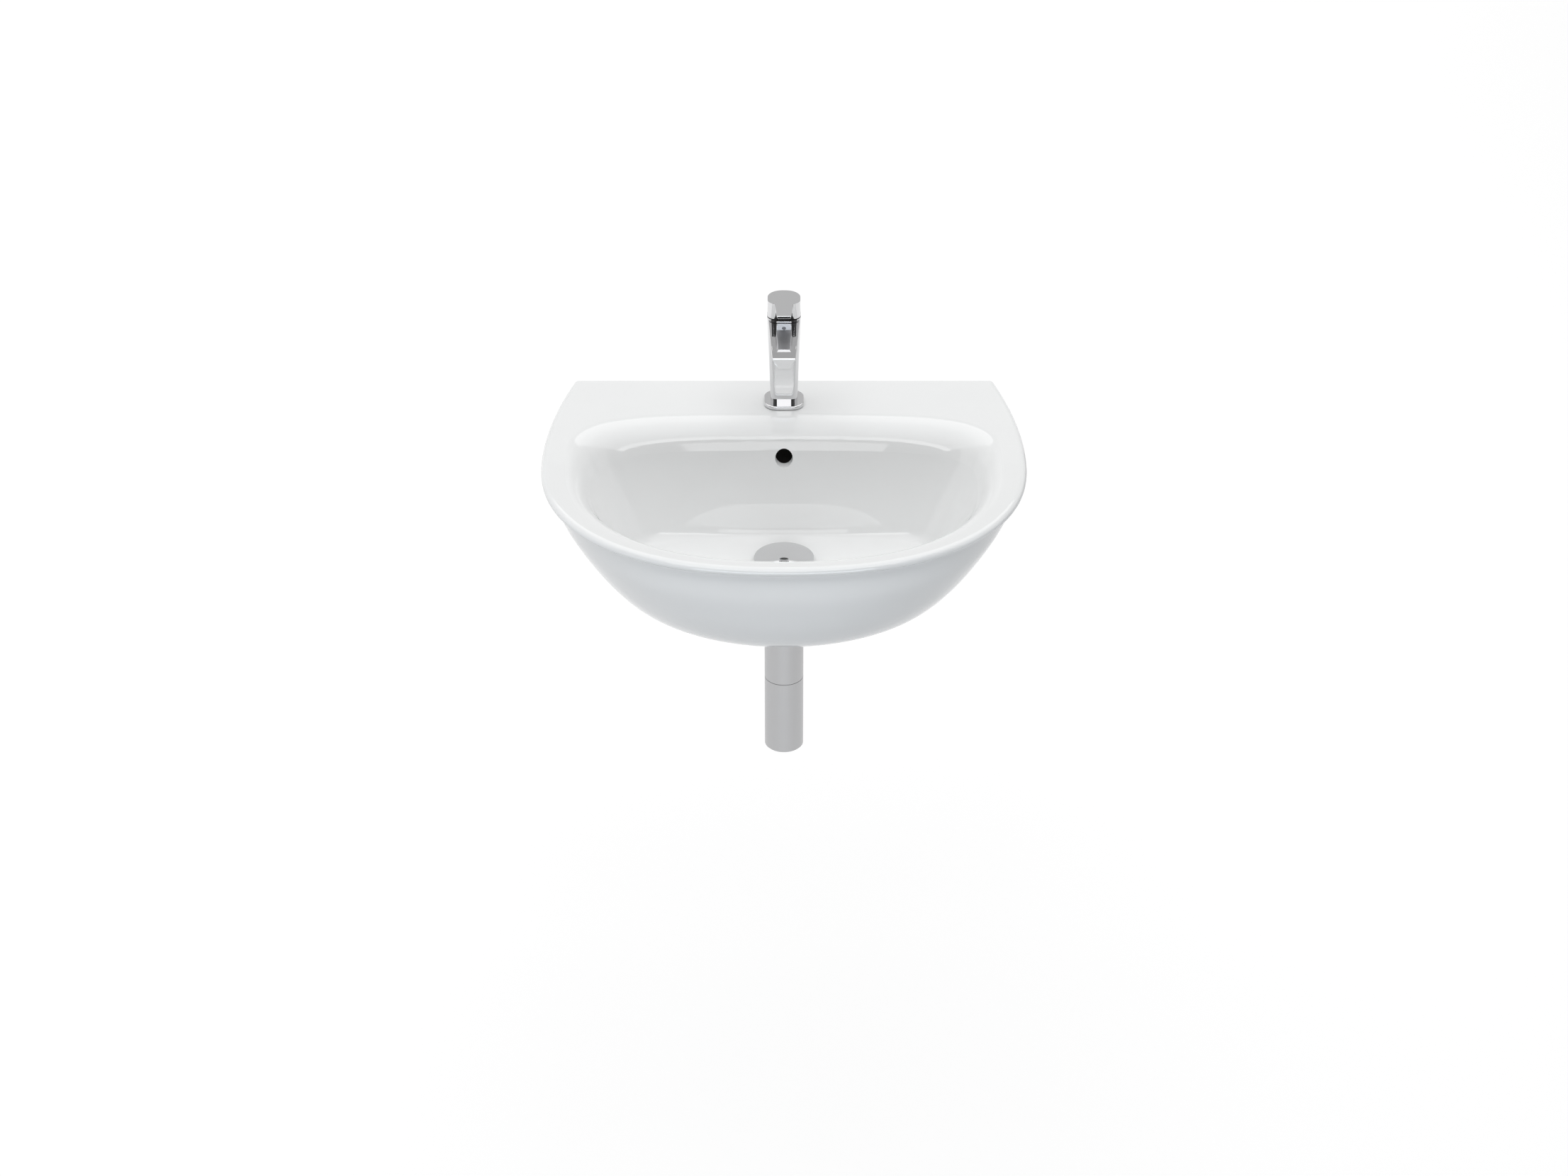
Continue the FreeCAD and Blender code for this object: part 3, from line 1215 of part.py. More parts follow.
def make_waste():
    length = "waste_length"
    outline = [
        (WASTE_BORE, "0"),
        ("waste_radius", "0"),
        ("waste_radius", f"{length} - flange_height"),
        (FLANGE, f"{length} - flange_height"),
        (FLANGE, f"{length} - nut_bevel"),
        (f"{FLANGE} - nut_bevel", length),
        (SEAT_EDGE, length),
        (f"{SEAT_EDGE} - seat_depth", f"{length} - seat_depth"),
        (WASTE_BORE, f"{length} - seat_depth"),
    ]
    pipe = turned("waste_pipe", outline, ("0", DRAIN, WASTE_END))
    level = f"{DRAIN_FLOOR} - slot_depth - slot_height"
    side = "2 * (waste_radius + overcut)"
    slots = [
        block("slot_along", "slot_width", side, "slot_height", ("0", f"{DRAIN} - ({side}) / 2", level)),
        block("slot_across", side, "slot_width", "slot_height", ("0", f"{DRAIN} - slot_width / 2", level)),
    ]
    slotted = cut("waste_slotted", pipe, slots)
    spider = f"{DRAIN_FLOOR} - spider_depth - spider_height"
    span = f"{WASTE_BORE} + waste_radius"
    arms = [
        block("arm_along", "spider_arm", span, "spider_height", ("0", f"{DRAIN} - ({span}) / 2", spider)),
        block("arm_across", span, "spider_arm", "spider_height", ("0", f"{DRAIN} - spider_arm / 2", spider)),
        cylinder("hub", HUB_RADIUS, "spider_height", ("0", DRAIN, spider)),
    ]
    hole = cylinder("hub_hole", f"{GUIDE_RADIUS} + thread_play", "spider_height", ("0", DRAIN, spider))
    keep(cut("waste_body", fuse("waste_blank", [slotted] + arms), [hole]), "waste_body")

    bore = "waste_radius + thread_play"
    seat = ("0", DRAIN, f"{DRAIN_FLOOR} - recess_depth")
    inside = f"{DRAIN_HOLE} + ring_inset"
    outside = f"{FLANGE} - ring_inset"
    ring = tube("flange_gasket", inside, outside, "recess_depth - flange_height", seat)
    keep(ring, "flange_gasket")
    level = f"({BOSS} - under_gasket)"
    keep(tube("under_gasket", bore, UNDER_RADIUS, "under_gasket", ("0", DRAIN, level)), "under_gasket")
    level = f"({level} - under_washer)"
    keep(tube("under_washer", bore, UNDER_RADIUS, "under_washer", ("0", DRAIN, level)), "under_washer")
    spot = ("0", DRAIN, f"{level} - backnut_height")
    nut = hexagon("backnut_blank", "2 * (waste_radius + backnut_wall)", "backnut_height", spot)
    keep(cut("backnut", nut, [cylinder("backnut_hole", bore, "backnut_height", spot)]), "backnut")

    bottom = f"{DRAIN_FLOOR} - guide_floor - guide_cap"
    height = "guide_floor + guide_cap"
    outline = [
        ("0", "0"),
        (GUIDE_RADIUS, "0"),
        (GUIDE_RADIUS, f"{height} - spider_depth"),
        (HUB_RADIUS, f"{height} - spider_depth"),
        (HUB_RADIUS, f"{height} - spider_depth + guide_cap"),
        (f"{GUIDE_RADIUS} + guide_swell", f"{height} - spider_depth + guide_cap"),
        (f"{GUIDE_RADIUS} + guide_swell", f"{height} - guide_top"),
        (GUIDE_BORE, f"{height} - guide_top"),
        (GUIDE_BORE, "guide_cap"),
        ("0", "guide_cap"),
    ]
    keep(turned("plug_guide", outline, ("0", DRAIN, bottom)), "plug_guide")
    spot = ("0", DRAIN, f"{DRAIN_FLOOR} - guide_floor")
    hollow = f"{SPRING_RADIUS} - spring_wire"
    keep(tube("plug_spring", hollow, SPRING_RADIUS, "guide_floor - pin_depth", spot), "plug_spring")
    spot = ("0", DRAIN, f"{DRAIN_FLOOR} - pin_depth")
    keep(cylinder("plug_pin", "pin_radius", f"{PLUG} - {DRAIN_FLOOR} + pin_depth", spot), "plug_pin")
    outline = [
        ("0", "plug_boss"),
        ("pin_radius + thread_play", "plug_boss"),
        ("pin_radius + thread_play", "0"),
        ("pin_radius + plug_boss_wall", "0"),
        ("pin_radius + plug_boss_wall", "plug_boss"),
        (f"{PLUG_RADIUS} - plug_edge", "plug_boss"),
        (PLUG_RADIUS, "plug_boss + plug_edge"),
        (PLUG_RADIUS, "plug_boss + plug_height - plug_edge"),
        (f"{PLUG_RADIUS} - plug_edge", "plug_boss + plug_height"),
        ("0", "plug_boss + plug_height"),
    ]
    keep(turned("plug_cap", outline, ("0", DRAIN, f"{PLUG} - plug_boss")), "plug_cap")
    spot = ("0", DRAIN, f"{PLUG} - plug_seal")
    inside = "waste_radius + seal_inset"
    keep(tube("plug_seal", inside, f"{inside} + seal_band", "plug_seal", spot), "plug_seal")


def slip_nut(thread, grip, slip):
    """The outline of a nut on a thread, with a lip that closes on a pipe."""
    top = f"{grip} + ring_lip"
    return [
        (thread, "0"),
        (f"{RING_RADIUS} - nut_bevel", "0"),
        (RING_RADIUS, "nut_bevel"),
        (RING_RADIUS, f"{top} - nut_bevel"),
        (f"{RING_RADIUS} - nut_bevel", top),
        (slip, top),
        (slip, grip),
        (thread, grip),
    ]


def make_trap():
    slip = "pipe_radius + thread_play"
    inner = "pipe_radius - pipe_wall"
    washer = f"{WASTE_END} - union_washer"
    collar = "waste_radius - collar_inset"
    keep(tube("union_washer", slip, collar, "union_washer", ("0", DRAIN, washer)), "union_washer")
    length = "dip_length - union_washer"
    outline = [
        (inner, "0"),
        ("pipe_radius", "0"),
        ("pipe_radius", f"{length} - union_collar"),
        (collar, f"{length} - union_collar"),
        (collar, length),
        (inner, length),
    ]
    keep(turned("inlet_pipe", outline, ("0", DRAIN, f"{WASTE_END} - dip_length")), "inlet_pipe")
    bore = "waste_radius + thread_play"
    rise = "union_lip + union_collar + union_washer + union_grip"
    outline = [
        (slip, "0"),
        (f"{UNION_RADIUS} - nut_bevel", "0"),
        (UNION_RADIUS, "nut_bevel"),
        (UNION_RADIUS, f"{rise} - nut_bevel"),
        (f"{UNION_RADIUS} - nut_bevel", rise),
        (bore, rise),
        (bore, "union_lip"),
        (slip, "union_lip"),
    ]
    level = f"{washer} - union_collar - union_lip"
    keep(turned("union_nut", outline, ("0", DRAIN, level)), "union_nut")

    # The head: a can with a threaded neck for the inlet pipe and a branch towards the wall.
    neck = "head_height + neck_rise"
    outline = [
        ("0", "0"),
        ("trap_radius", "0"),
        ("trap_radius", "head_height - nut_bevel"),
        ("trap_radius - nut_bevel", "head_height"),
        (NECK_RADIUS, "head_height"),
        (NECK_RADIUS, neck),
        ("0", neck),
    ]
    bottom = f"{TRAP_HEAD} - head_height"
    can = turned("head_can", outline, ("0", DRAIN, bottom))
    axis = f"{TRAP_HEAD} - branch_drop"
    branch = cylinder("head_branch", BRANCH_RADIUS, "branch_length", ("0", DRAIN, axis), TO_WALL)
    outline = [
        ("0", "-overcut"),
        ("trap_radius - trap_wall", "-overcut"),
        ("trap_radius - trap_wall", "head_height - head_roof"),
        (slip, "head_height - head_roof"),
        (slip, "head_height + seal_seat"),
        (SEAL_RADIUS, "head_height + seal_seat"),
        (SEAL_RADIUS, f"{neck} + overcut"),
        ("0", f"{neck} + overcut"),
    ]
    room = turned("head_room", outline, ("0", DRAIN, bottom))
    bore = cylinder("branch_bore", slip, "branch_length + overcut", ("0", DRAIN, axis), TO_WALL)
    keep(cut("trap_head", fuse("head_blank", [can, branch]), [room, bore]), "trap_head")
    spot = ("0", DRAIN, f"{TRAP_HEAD} + seal_seat")
    hole = "pipe_radius + ring_play"
    ring = tube("inlet_seal", hole, f"{SEAL_RADIUS} - thread_play", "neck_rise - seal_seat", spot)
    keep(ring, "inlet_seal")
    grip = "neck_rise - nut_gap"
    outline = slip_nut(f"{NECK_RADIUS} + thread_play", grip, slip)
    keep(turned("inlet_nut", outline, ("0", DRAIN, f"{TRAP_HEAD} + nut_gap")), "inlet_nut")

    shoulder = "trap_radius - trap_wall - thread_play"
    hollow = "trap_radius - 2 * trap_wall"
    outline = [
        ("0", "0"),
        ("trap_radius - cup_edge", "0"),
        ("trap_radius", "cup_edge"),
        ("trap_radius", "cup_height"),
        (shoulder, "cup_height"),
        (shoulder, "cup_height + cup_neck"),
        (hollow, "cup_height + cup_neck"),
        (hollow, "cup_floor"),
        ("0", "cup_floor"),
    ]
    keep(turned("trap_cup", outline, ("0", DRAIN, f"{TRAP_CUP} - cup_height")), "trap_cup")
    ring = tube("cup_seal", shoulder, "trap_radius - seal_recess", "cup_seal", ("0", DRAIN, TRAP_CUP))
    keep(ring, "cup_seal")

    end = f"{DRAIN} + branch_length"
    length = "drain_line - outlet_start + outlet_in_wall"
    outline = [
        (inner, "0"),
        ("pipe_radius", "0"),
        ("pipe_radius", f"{length} - spigot_length"),
        ("pipe_radius - spigot_step", f"{length} - spigot_length"),
        ("pipe_radius - spigot_step", length),
        (inner, length),
    ]
    keep(turned("outlet_pipe", outline, ("0", f"{DRAIN} + outlet_start", axis), TO_WALL), "outlet_pipe")
    keep(tube("outlet_seal", hole, BRANCH_RADIUS, "outlet_seal", ("0", end, axis), TO_WALL), "outlet_seal")
    grip = "branch_thread + outlet_seal"
    outline = slip_nut(f"{BRANCH_RADIUS} + thread_play", grip, slip)
    keep(turned("outlet_nut", outline, ("0", f"{end} - branch_thread", axis), TO_WALL), "outlet_nut")
    outline = [
        (slip, "0"),
        ("rosette_radius", "0"),
        ("rosette_radius", "rosette_rim"),
        ("rosette_radius - rosette_step", "2 * rosette_rim"),
        ("pipe_radius + 2 * rosette_step", "rosette_depth - rosette_rim"),
        ("pipe_radius + rosette_step", "rosette_depth"),
        (slip, "rosette_depth"),
    ]
    keep(turned("wall_rosette", outline, ("0", "0", axis), TO_ROOM), "wall_rosette")


def check():
    """Stop before anything is written if a piece failed."""
    for item in doc.Objects:
        if "Invalid" in item.State or "Error" in item.State:
            raise RuntimeError(f"{item.Name}: {item.State}")
    for name, item in nodes.items():
        if item.Shape.isNull() or not item.Shape.isValid() or not item.Shape.Solids:
            raise RuntimeError(f"{name}: bad shape")


make_basin()
make_wall_fixings()
make_tap_body()
make_tap_clamp()
make_cartridge()
make_handle()
make_waste()
make_trap()
doc.recompute()
check()
os.makedirs("parts", exist_ok=True)
for name, item in nodes.items():
    item.Shape.exportStep(f"parts/{name}.step")
    print(name, len(item.Shape.Solids), round(item.Shape.Volume))
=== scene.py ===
"""The looks of a wall-hung china basin with its mixer, press-to-close waste and bottle trap."""

import math

import bpy
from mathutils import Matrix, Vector


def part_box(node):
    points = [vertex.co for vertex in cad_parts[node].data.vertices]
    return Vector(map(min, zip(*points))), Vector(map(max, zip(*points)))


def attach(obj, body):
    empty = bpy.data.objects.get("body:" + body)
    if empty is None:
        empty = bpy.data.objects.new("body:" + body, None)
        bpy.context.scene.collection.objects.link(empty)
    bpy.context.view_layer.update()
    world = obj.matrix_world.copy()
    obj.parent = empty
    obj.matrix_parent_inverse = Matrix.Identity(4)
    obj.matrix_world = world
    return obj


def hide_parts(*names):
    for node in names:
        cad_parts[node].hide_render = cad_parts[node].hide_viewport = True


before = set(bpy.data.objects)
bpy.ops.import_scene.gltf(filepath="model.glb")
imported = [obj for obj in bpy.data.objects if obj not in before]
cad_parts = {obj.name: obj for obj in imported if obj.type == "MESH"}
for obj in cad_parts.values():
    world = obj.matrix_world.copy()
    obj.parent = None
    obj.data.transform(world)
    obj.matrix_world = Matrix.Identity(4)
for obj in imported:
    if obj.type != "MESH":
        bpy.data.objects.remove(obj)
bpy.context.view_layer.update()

bl_info = {
    "name": "Wall-hung basin",
    "version": (1, 0, 0),
    "blender": (4, 5, 0),
    "location": "View3D > Sidebar > Basin",
    "description": "Finishes a china basin with its tap, waste and trap, and lights it",
    "category": "Object",
}

MM = 0.001

# The photograph's width and its lens's focal length, in pixels.
PHOTO_WIDTH = 2212
PHOTO_FOCUS = 5103

# The bowl's back wall: how far it goes back for each unit up, and where its plane meets the studs' level.
WALL_LEAN = 55 / 126
WALL_LINE = -145.2 * MM

# The overflow's duct, where shade is painted: where the painted shade starts and where it is full, behind the
# wall, sideways and upwards, then the painted shade's colour.
DUCT_FRONT = (10 * MM, 12 * MM)
DUCT_BACK = (28 * MM, 27 * MM)
DUCT_SIDE = (13 * MM, 12 * MM)
DUCT_TOP = (33 * MM, 32 * MM)
DUCT_PAINTED_SHADE = "#2E2D2B"

# Chrome's underside: how far down it faces where the satin starts and where it is full, and its roughness.
UNDERSIDE = (-0.8, -0.92)
UNDERSIDE_ROUGHNESS = 0.42

# Screws as crest radius and pitch, and hexagon nuts as width across flats and bore radius.
M10_SCREW = (4.9 * MM, 1.5 * MM)
M8_SCREW = (3.92 * MM, 1.25 * MM)
M10_NUT = (17 * MM, 5.05 * MM)
M8_NUT = (13 * MM, 4.05 * MM)
STUD_RADIUS = 5 * MM

# A thread's depth and its chamfered end's, in pitches, and the rings that draw it.
THREAD_DEPTH = 0.61
THREAD_END = 0.75
PITCH_RINGS = 6
CHAMFER_RINGS = 4
SCREW_STEPS = 24

# A nut's face in half widths across flats, its corners' run outwards, its rings in widths, its bore's mouth.
NUT_FACE = 0.97
NUT_RUN = 1.7
NUT_DEPTHS = (0, 0.02, 0.04, 0.06, 0.08, 0.1)
NUT_MOUTH = 0.08
NUT_STEPS = 72

# Edges sharper than this are not shaded round.
SHARP_EDGE = math.radians(32)

# The aerator's lattice: half a bar's width, the crossing bars' step down, bars each side, gaps to the rim.
HALF_BAR = 0.3 * MM
BAR_STEP = 0.4 * MM
BARS = 5
BAR_GAPS = 5.8

# The plug's cap: its plate's thickness in the CAD, then the dome's edge and crown over its underside.
CAP_THICKNESS = 4 * MM
DOME_EDGE = 1 * MM
DOME_CROWN = 5.2 * MM
DOME_INSET = 0.4 * MM
DOME_RINGS = 28
DOME_STEPS = 128
PIN_BORE = 3.55 * MM
BOSS_RADIUS = 7 * MM

# The light tent's walls, levels and seams in metres; above SHADE the cloth behind is darker.
TENT_SIDE, TENT_FRONT, TENT_BACK = 2.5, -5.0, 4.1
FOOT, SHADE, ROOF = 0.35, 2.5, 3.2
SIDE_SEAM = -1.0
ROOF_SEAMS = (1.3, -2.2, -3.1)

# The card above the camera: half its width, and its lower and upper edges as y and z.
CARD_HALF = 0.4
CARD_LOW = (-4.9, 2.3)
CARD_HIGH = (-4.0, 3.15)

# The floor's own light to the eye, which with the light that falls on it makes it white.
FLOOR_WHITE = 0.68

CHINA = ("basin",)
BRIGHT_CHROME = ("tap_body", "base_plate", "lever_handle", "plug_cap", "waste_body")
SATIN_CHROME = (
    "trap_head",
    "trap_cup",
    "inlet_pipe",
    "union_nut",
    "inlet_nut",
    "outlet_pipe",
    "outlet_nut",
    "wall_rosette",
)
RUBBER = (
    "base_gasket",
    "aerator_washer",
    "horseshoe_gasket",
    "cartridge_seal",
    "flange_gasket",
    "under_gasket",
    "plug_seal",
    "union_washer",
    "inlet_seal",
    "cup_seal",
    "outlet_seal",
)
ZINC_STEEL = (
    "wall_studs",
    "fixing_washers",
    "fixing_nuts",
    "horseshoe_plate",
    "clamp_stud",
    "handle_screw",
)
STAINLESS = ("pivot_pin", "lever_stem", "plug_spring")
BRASS = ("backnut", "cartridge_nut", "plug_pin", "clamp_nut")
WHITE_NYLON = ("fixing_bushes", "under_washer", "aerator_housing", "aerator_insert")
BLACK_ACETAL = (
    "cover_ring",
    "cartridge_base",
    "cartridge_housing",
    "rotor",
    "disc_carrier",
    "plug_guide",
)
GREY_ACRYLIC = ("colour_button",)
ALUMINA = ("fixed_disc", "moving_disc")


def linear(colour):
    """An sRGB hex colour as linear RGBA."""

    def decode(level):
        return level / 12.92 if level <= 0.04045 else ((level + 0.055) / 1.055) ** 2.4

    return [decode(int(colour[start : start + 2], 16) / 255) for start in (1, 3, 5)] + [1]


def per(millimetres):
    """The texture scale at which one cell of a pattern is this large."""
    return 1 / (millimetres * MM)


def add(tree, kind, settings=None, inputs=None):
    """Add a node; an input's value is a socket to link or a plain value to set."""
    node = tree.nodes.new(kind)
    for name, value in (settings or {}).items():
        setattr(node, name, value)
    for name, value in (inputs or {}).items():
        if isinstance(value, bpy.types.NodeSocket):
            tree.links.new(value, node.inputs[name])
        else:
            node.inputs[name].default_value = value
    return node


def material(name):
    """An empty node material and its tree."""
    made = bpy.data.materials.new(name)
    made.use_nodes = True
    made.node_tree.nodes.clear()
    return made, made.node_tree


def surface(tree, inputs):
    """A principled surface at the material's output."""
    shader = add(tree, "ShaderNodeBsdfPrincipled", None, inputs)
    add(tree, "ShaderNodeOutputMaterial", None, {"Surface": shader.outputs["BSDF"]})


def places(tree):
    """Where a point lies on the object, in metres."""
    return add(tree, "ShaderNodeTexCoord").outputs["Object"]


def noise(tree, millimetres, detail=2.0):
    """An even cloud of spots of this size."""
    return add(
        tree,
        "ShaderNodeTexNoise",
        None,
        {"Vector": places(tree), "Scale": per(millimetres), "Detail": detail},
    ).outputs["Fac"]


def between(tree, share, low, high):
    """A pattern spread between two levels."""
    return add(
        tree, "ShaderNodeMapRange", None, {"Value": share, "To Min": low, "To Max": high}
    ).outputs["Result"]


def tint(tree, share, low, high):
    """A pattern spread between two colours."""
    mixed = add(
        tree,
        "ShaderNodeMix",
        {"data_type": "RGBA"},
        {0: share, 6: linear(low), 7: linear(high)},
    )
    return mixed.outputs[2]


def bumps(tree, height, depth_mm, strength=1.0):
    """A pattern as relief of this depth."""
    return add(
        tree, "ShaderNodeBump", None, {"Height": height, "Distance": depth_mm * MM, "Strength": strength}
    ).outputs["Normal"]


def ramp(tree, value, start, stop):
    """0 up to the start, 1 from the stop, and even between them."""
    return add(
        tree, "ShaderNodeMapRange", None, {"Value": value, "From Min": start, "From Max": stop}
    ).outputs["Result"]


def sum_up(tree, operation, first, second=0.0, third=0.0):
    """The result of one sum."""
    node = add(tree, "ShaderNodeMath", {"operation": operation}, {0: first, 1: second, 2: third})
    return node.outputs[0]


def duct_share(tree):
    """1 inside the overflow's duct, which runs down behind the bowl's leaning back wall: where shade is
    painted.
    """
    spot = add(tree, "ShaderNodeSeparateXYZ", None, {"Vector": places(tree)})
    lean = sum_up(tree, "MULTIPLY_ADD", spot.outputs["Z"], -WALL_LEAN, -WALL_LINE)
    behind = sum_up(tree, "ADD", spot.outputs["Y"], lean)
    past_wall = ramp(tree, behind, *DUCT_FRONT)
    before_rib = ramp(tree, behind, *DUCT_BACK)
    across = ramp(tree, sum_up(tree, "ABSOLUTE", spot.outputs["X"]), *DUCT_SIDE)
    under_lip = ramp(tree, spot.outputs["Z"], *DUCT_TOP)
    long = sum_up(tree, "MULTIPLY", past_wall, before_rib)
    return sum_up(tree, "MULTIPLY", long, sum_up(tree, "MULTIPLY", across, under_lip))


def glazed_china(look):
    """Vitreous china under a fired clear glaze, white with a wet gloss, and painted shade in its duct:
    coloured dark, matt and without gloss.
    """
    made, tree = material("glazed vitreous china")
    # Painted shade: inside the overflow's duct the china is coloured near black, made fully rough and given
    # no gloss, so that it stands for the shade there.
    painted_duct_shade = duct_share(tree)
    glaze = tint(tree, noise(tree, 60), look.china_shade, look.china_colour)
    body = add(
        tree,
        "ShaderNodeMix",
        {"data_type": "RGBA"},
        {0: painted_duct_shade, 6: glaze, 7: linear(DUCT_PAINTED_SHADE)},
    )
    sheen = between(tree, noise(tree, 25), 0.015, 0.035)
    surface(
        tree,
        {
            "Base Color": body.outputs[2],
            "Roughness": sum_up(tree, "MAXIMUM", sheen, painted_duct_shade),
            "IOR": 1.6,
            "Specular IOR Level": between(tree, painted_duct_shade, 0.5, 0.0),
            "Normal": bumps(tree, noise(tree, 14, 1.0), 0.02, 0.4),
        },
    )
    return made


def chrome(name, colour, roughness, spread, grain_mm):
    """Chrome plate: a cool mirror, and satin underneath, where the polishing wheel hardly reaches."""
    made, tree = material(name)
    grain = noise(tree, grain_mm, 3.0)
    facing = add(tree, "ShaderNodeNewGeometry").outputs["Normal"]
    upward = add(tree, "ShaderNodeSeparateXYZ", None, {"Vector": facing}).outputs["Z"]
    satin = between(tree, ramp(tree, upward, *UNDERSIDE), 0.0, UNDERSIDE_ROUGHNESS)
    polish = between(tree, grain, roughness, roughness + spread)
    surface(
        tree,
        {
            "Base Color": linear(colour),
            "Metallic": 1.0,
            "Roughness": sum_up(tree, "MAXIMUM", polish, satin),
        },
    )
    return made


def moulded(name, dark, light, roughness, grain_mm, depth_mm):
    """A moulded plastic or rubber: an even colour, a soft sheen and the mould's fine grain."""
    made, tree = material(name)
    grain = noise(tree, grain_mm, 3.0)
    surface(
        tree,
        {
            "Base Color": tint(tree, grain, dark, light),
            "Roughness": between(tree, noise(tree, 8 * grain_mm), roughness - 0.05, roughness + 0.05),
            "Normal": bumps(tree, grain, depth_mm),
        },
    )
    return made


def metal(name, dark, light, roughness, grain_mm):
    """A machined or plated metal: tone and gloss vary with the tool's fine marks."""
    made, tree = material(name)
    grain = noise(tree, grain_mm, 4.0)
    surface(
        tree,
        {
            "Base Color": tint(tree, grain, dark, light),
            "Metallic": 1.0,
            "Roughness": between(tree, grain, roughness - 0.06, roughness + 0.06),
            "Normal": bumps(tree, grain, 0.01),
        },
    )
    return made


def finish(nodes, made):
    """Give CAD nodes one material."""
    for name in nodes:
        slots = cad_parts[name].data.materials
        slots.clear()
        slots.append(made)


def mesh_object(name, points, faces):
    """Link a new mesh into the scene."""
    mesh = bpy.data.meshes.new(name)
    mesh.from_pydata(points, [], faces)
    item = bpy.data.objects.new(name, mesh)
    bpy.context.collection.objects.link(item)
    return item


def around(name, rings, steps, place, along, closed=False):
    """A skin of rings about an axis; each ring is a height and a radius, or a radius for every angle."""
    along = Vector(along)
    right = along.orthogonal().normalized()
    up = along.cross(right)
    points = []
    for height, radius in rings:
        for step in range(steps):
            angle = 2 * math.pi * step / steps
            reach = radius(angle) if callable(radius) else radius
            outward = right * math.cos(angle) + up * math.sin(angle)
            points.append(Vector(place) + along * height + outward * reach)
    faces = []
    for row in range(len(rings) if closed else len(rings) - 1):
        near, far = row * steps, (row + 1) % len(rings) * steps
        for step in range(steps):
            after = (step + 1) % steps
            faces.append((near + step, near + after, far + after, far + step))
    if not closed:
        faces.append(tuple(reversed(range(steps))))
        faces.append(tuple(range(len(points) - steps, len(points))))
    item = mesh_object(name, points, faces)
    item.data.shade_smooth()
    item.data.set_sharp_from_angle(angle=SHARP_EDGE)
    return item


def stand_for(item, node, body, made):
    """Let a piece take a CAD node's place."""
    item.data.materials.append(made)
    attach(item, body)
    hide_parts(node)


def thread(radius, pitch, height):
    """The radius round a screw thread at one height."""

    def reach(angle):
        turn = (height / pitch - angle / (2 * math.pi)) % 1
        zigzag = abs(2 * turn - 1)
        # The crest and the root are each flat over a tenth of the pitch.
        share = min(max(zigzag * 1.25 - 0.125, 0), 1)
        return radius - THREAD_DEPTH * pitch * share

    return reach


def screw(name, length, radius, pitch, place, along):
    """A threaded rod with chamfered ends."""
    count = round(length / pitch * PITCH_RINGS)
    end = radius - THREAD_END * pitch
    rings = [(0, end)]
    for step in range(CHAMFER_RINGS, count - CHAMFER_RINGS + 1):
        height = length * step / count
        rings.append((height, thread(radius, pitch, height)))
    rings.append((length, end))
    return around(name, rings, SCREW_STEPS, place, along)


def nut(name, flats, bore, length, place, along):
    """A hexagon nut with its corners turned off at both ends."""

    def outside(depth):
        def reach(angle):
            corner = (angle + math.pi / 6) % (math.pi / 3) - math.pi / 6
            return min(flats / 2 / math.cos(corner), flats / 2 * NUT_FACE + depth * NUT_RUN)

        return reach

    depths = [flats * share for share in NUT_DEPTHS]
    rings = [(depth, outside(depth)) for depth in depths]
    rings += [(length - depth, outside(depth)) for depth in reversed(depths)]
    mouth = NUT_MOUTH * bore
    rings += [(length, bore + mouth), (length - mouth, bore), (mouth, bore), (0, bore + mouth)]
    return around(name, rings, NUT_STEPS, place, along, closed=True)


class BasinLook(bpy.types.PropertyGroup):
    """Colours of the finishes."""

    china_colour: bpy.props.StringProperty(
        name="China", description="Glaze's colour, sRGB hex", default="#EEEFEF"
    )
    china_shade: bpy.props.StringProperty(
        name="China's shade", description="Glaze where it lies thicker, sRGB hex", default="#EBECEC"
    )
    chrome_colour: bpy.props.StringProperty(
        name="Chrome", description="Bright chrome, sRGB hex", default="#DCDCDD"
    )
    satin_colour: bpy.props.StringProperty(
        name="Satin", description="Satin chrome, sRGB hex", default="#B8B8B9"
    )


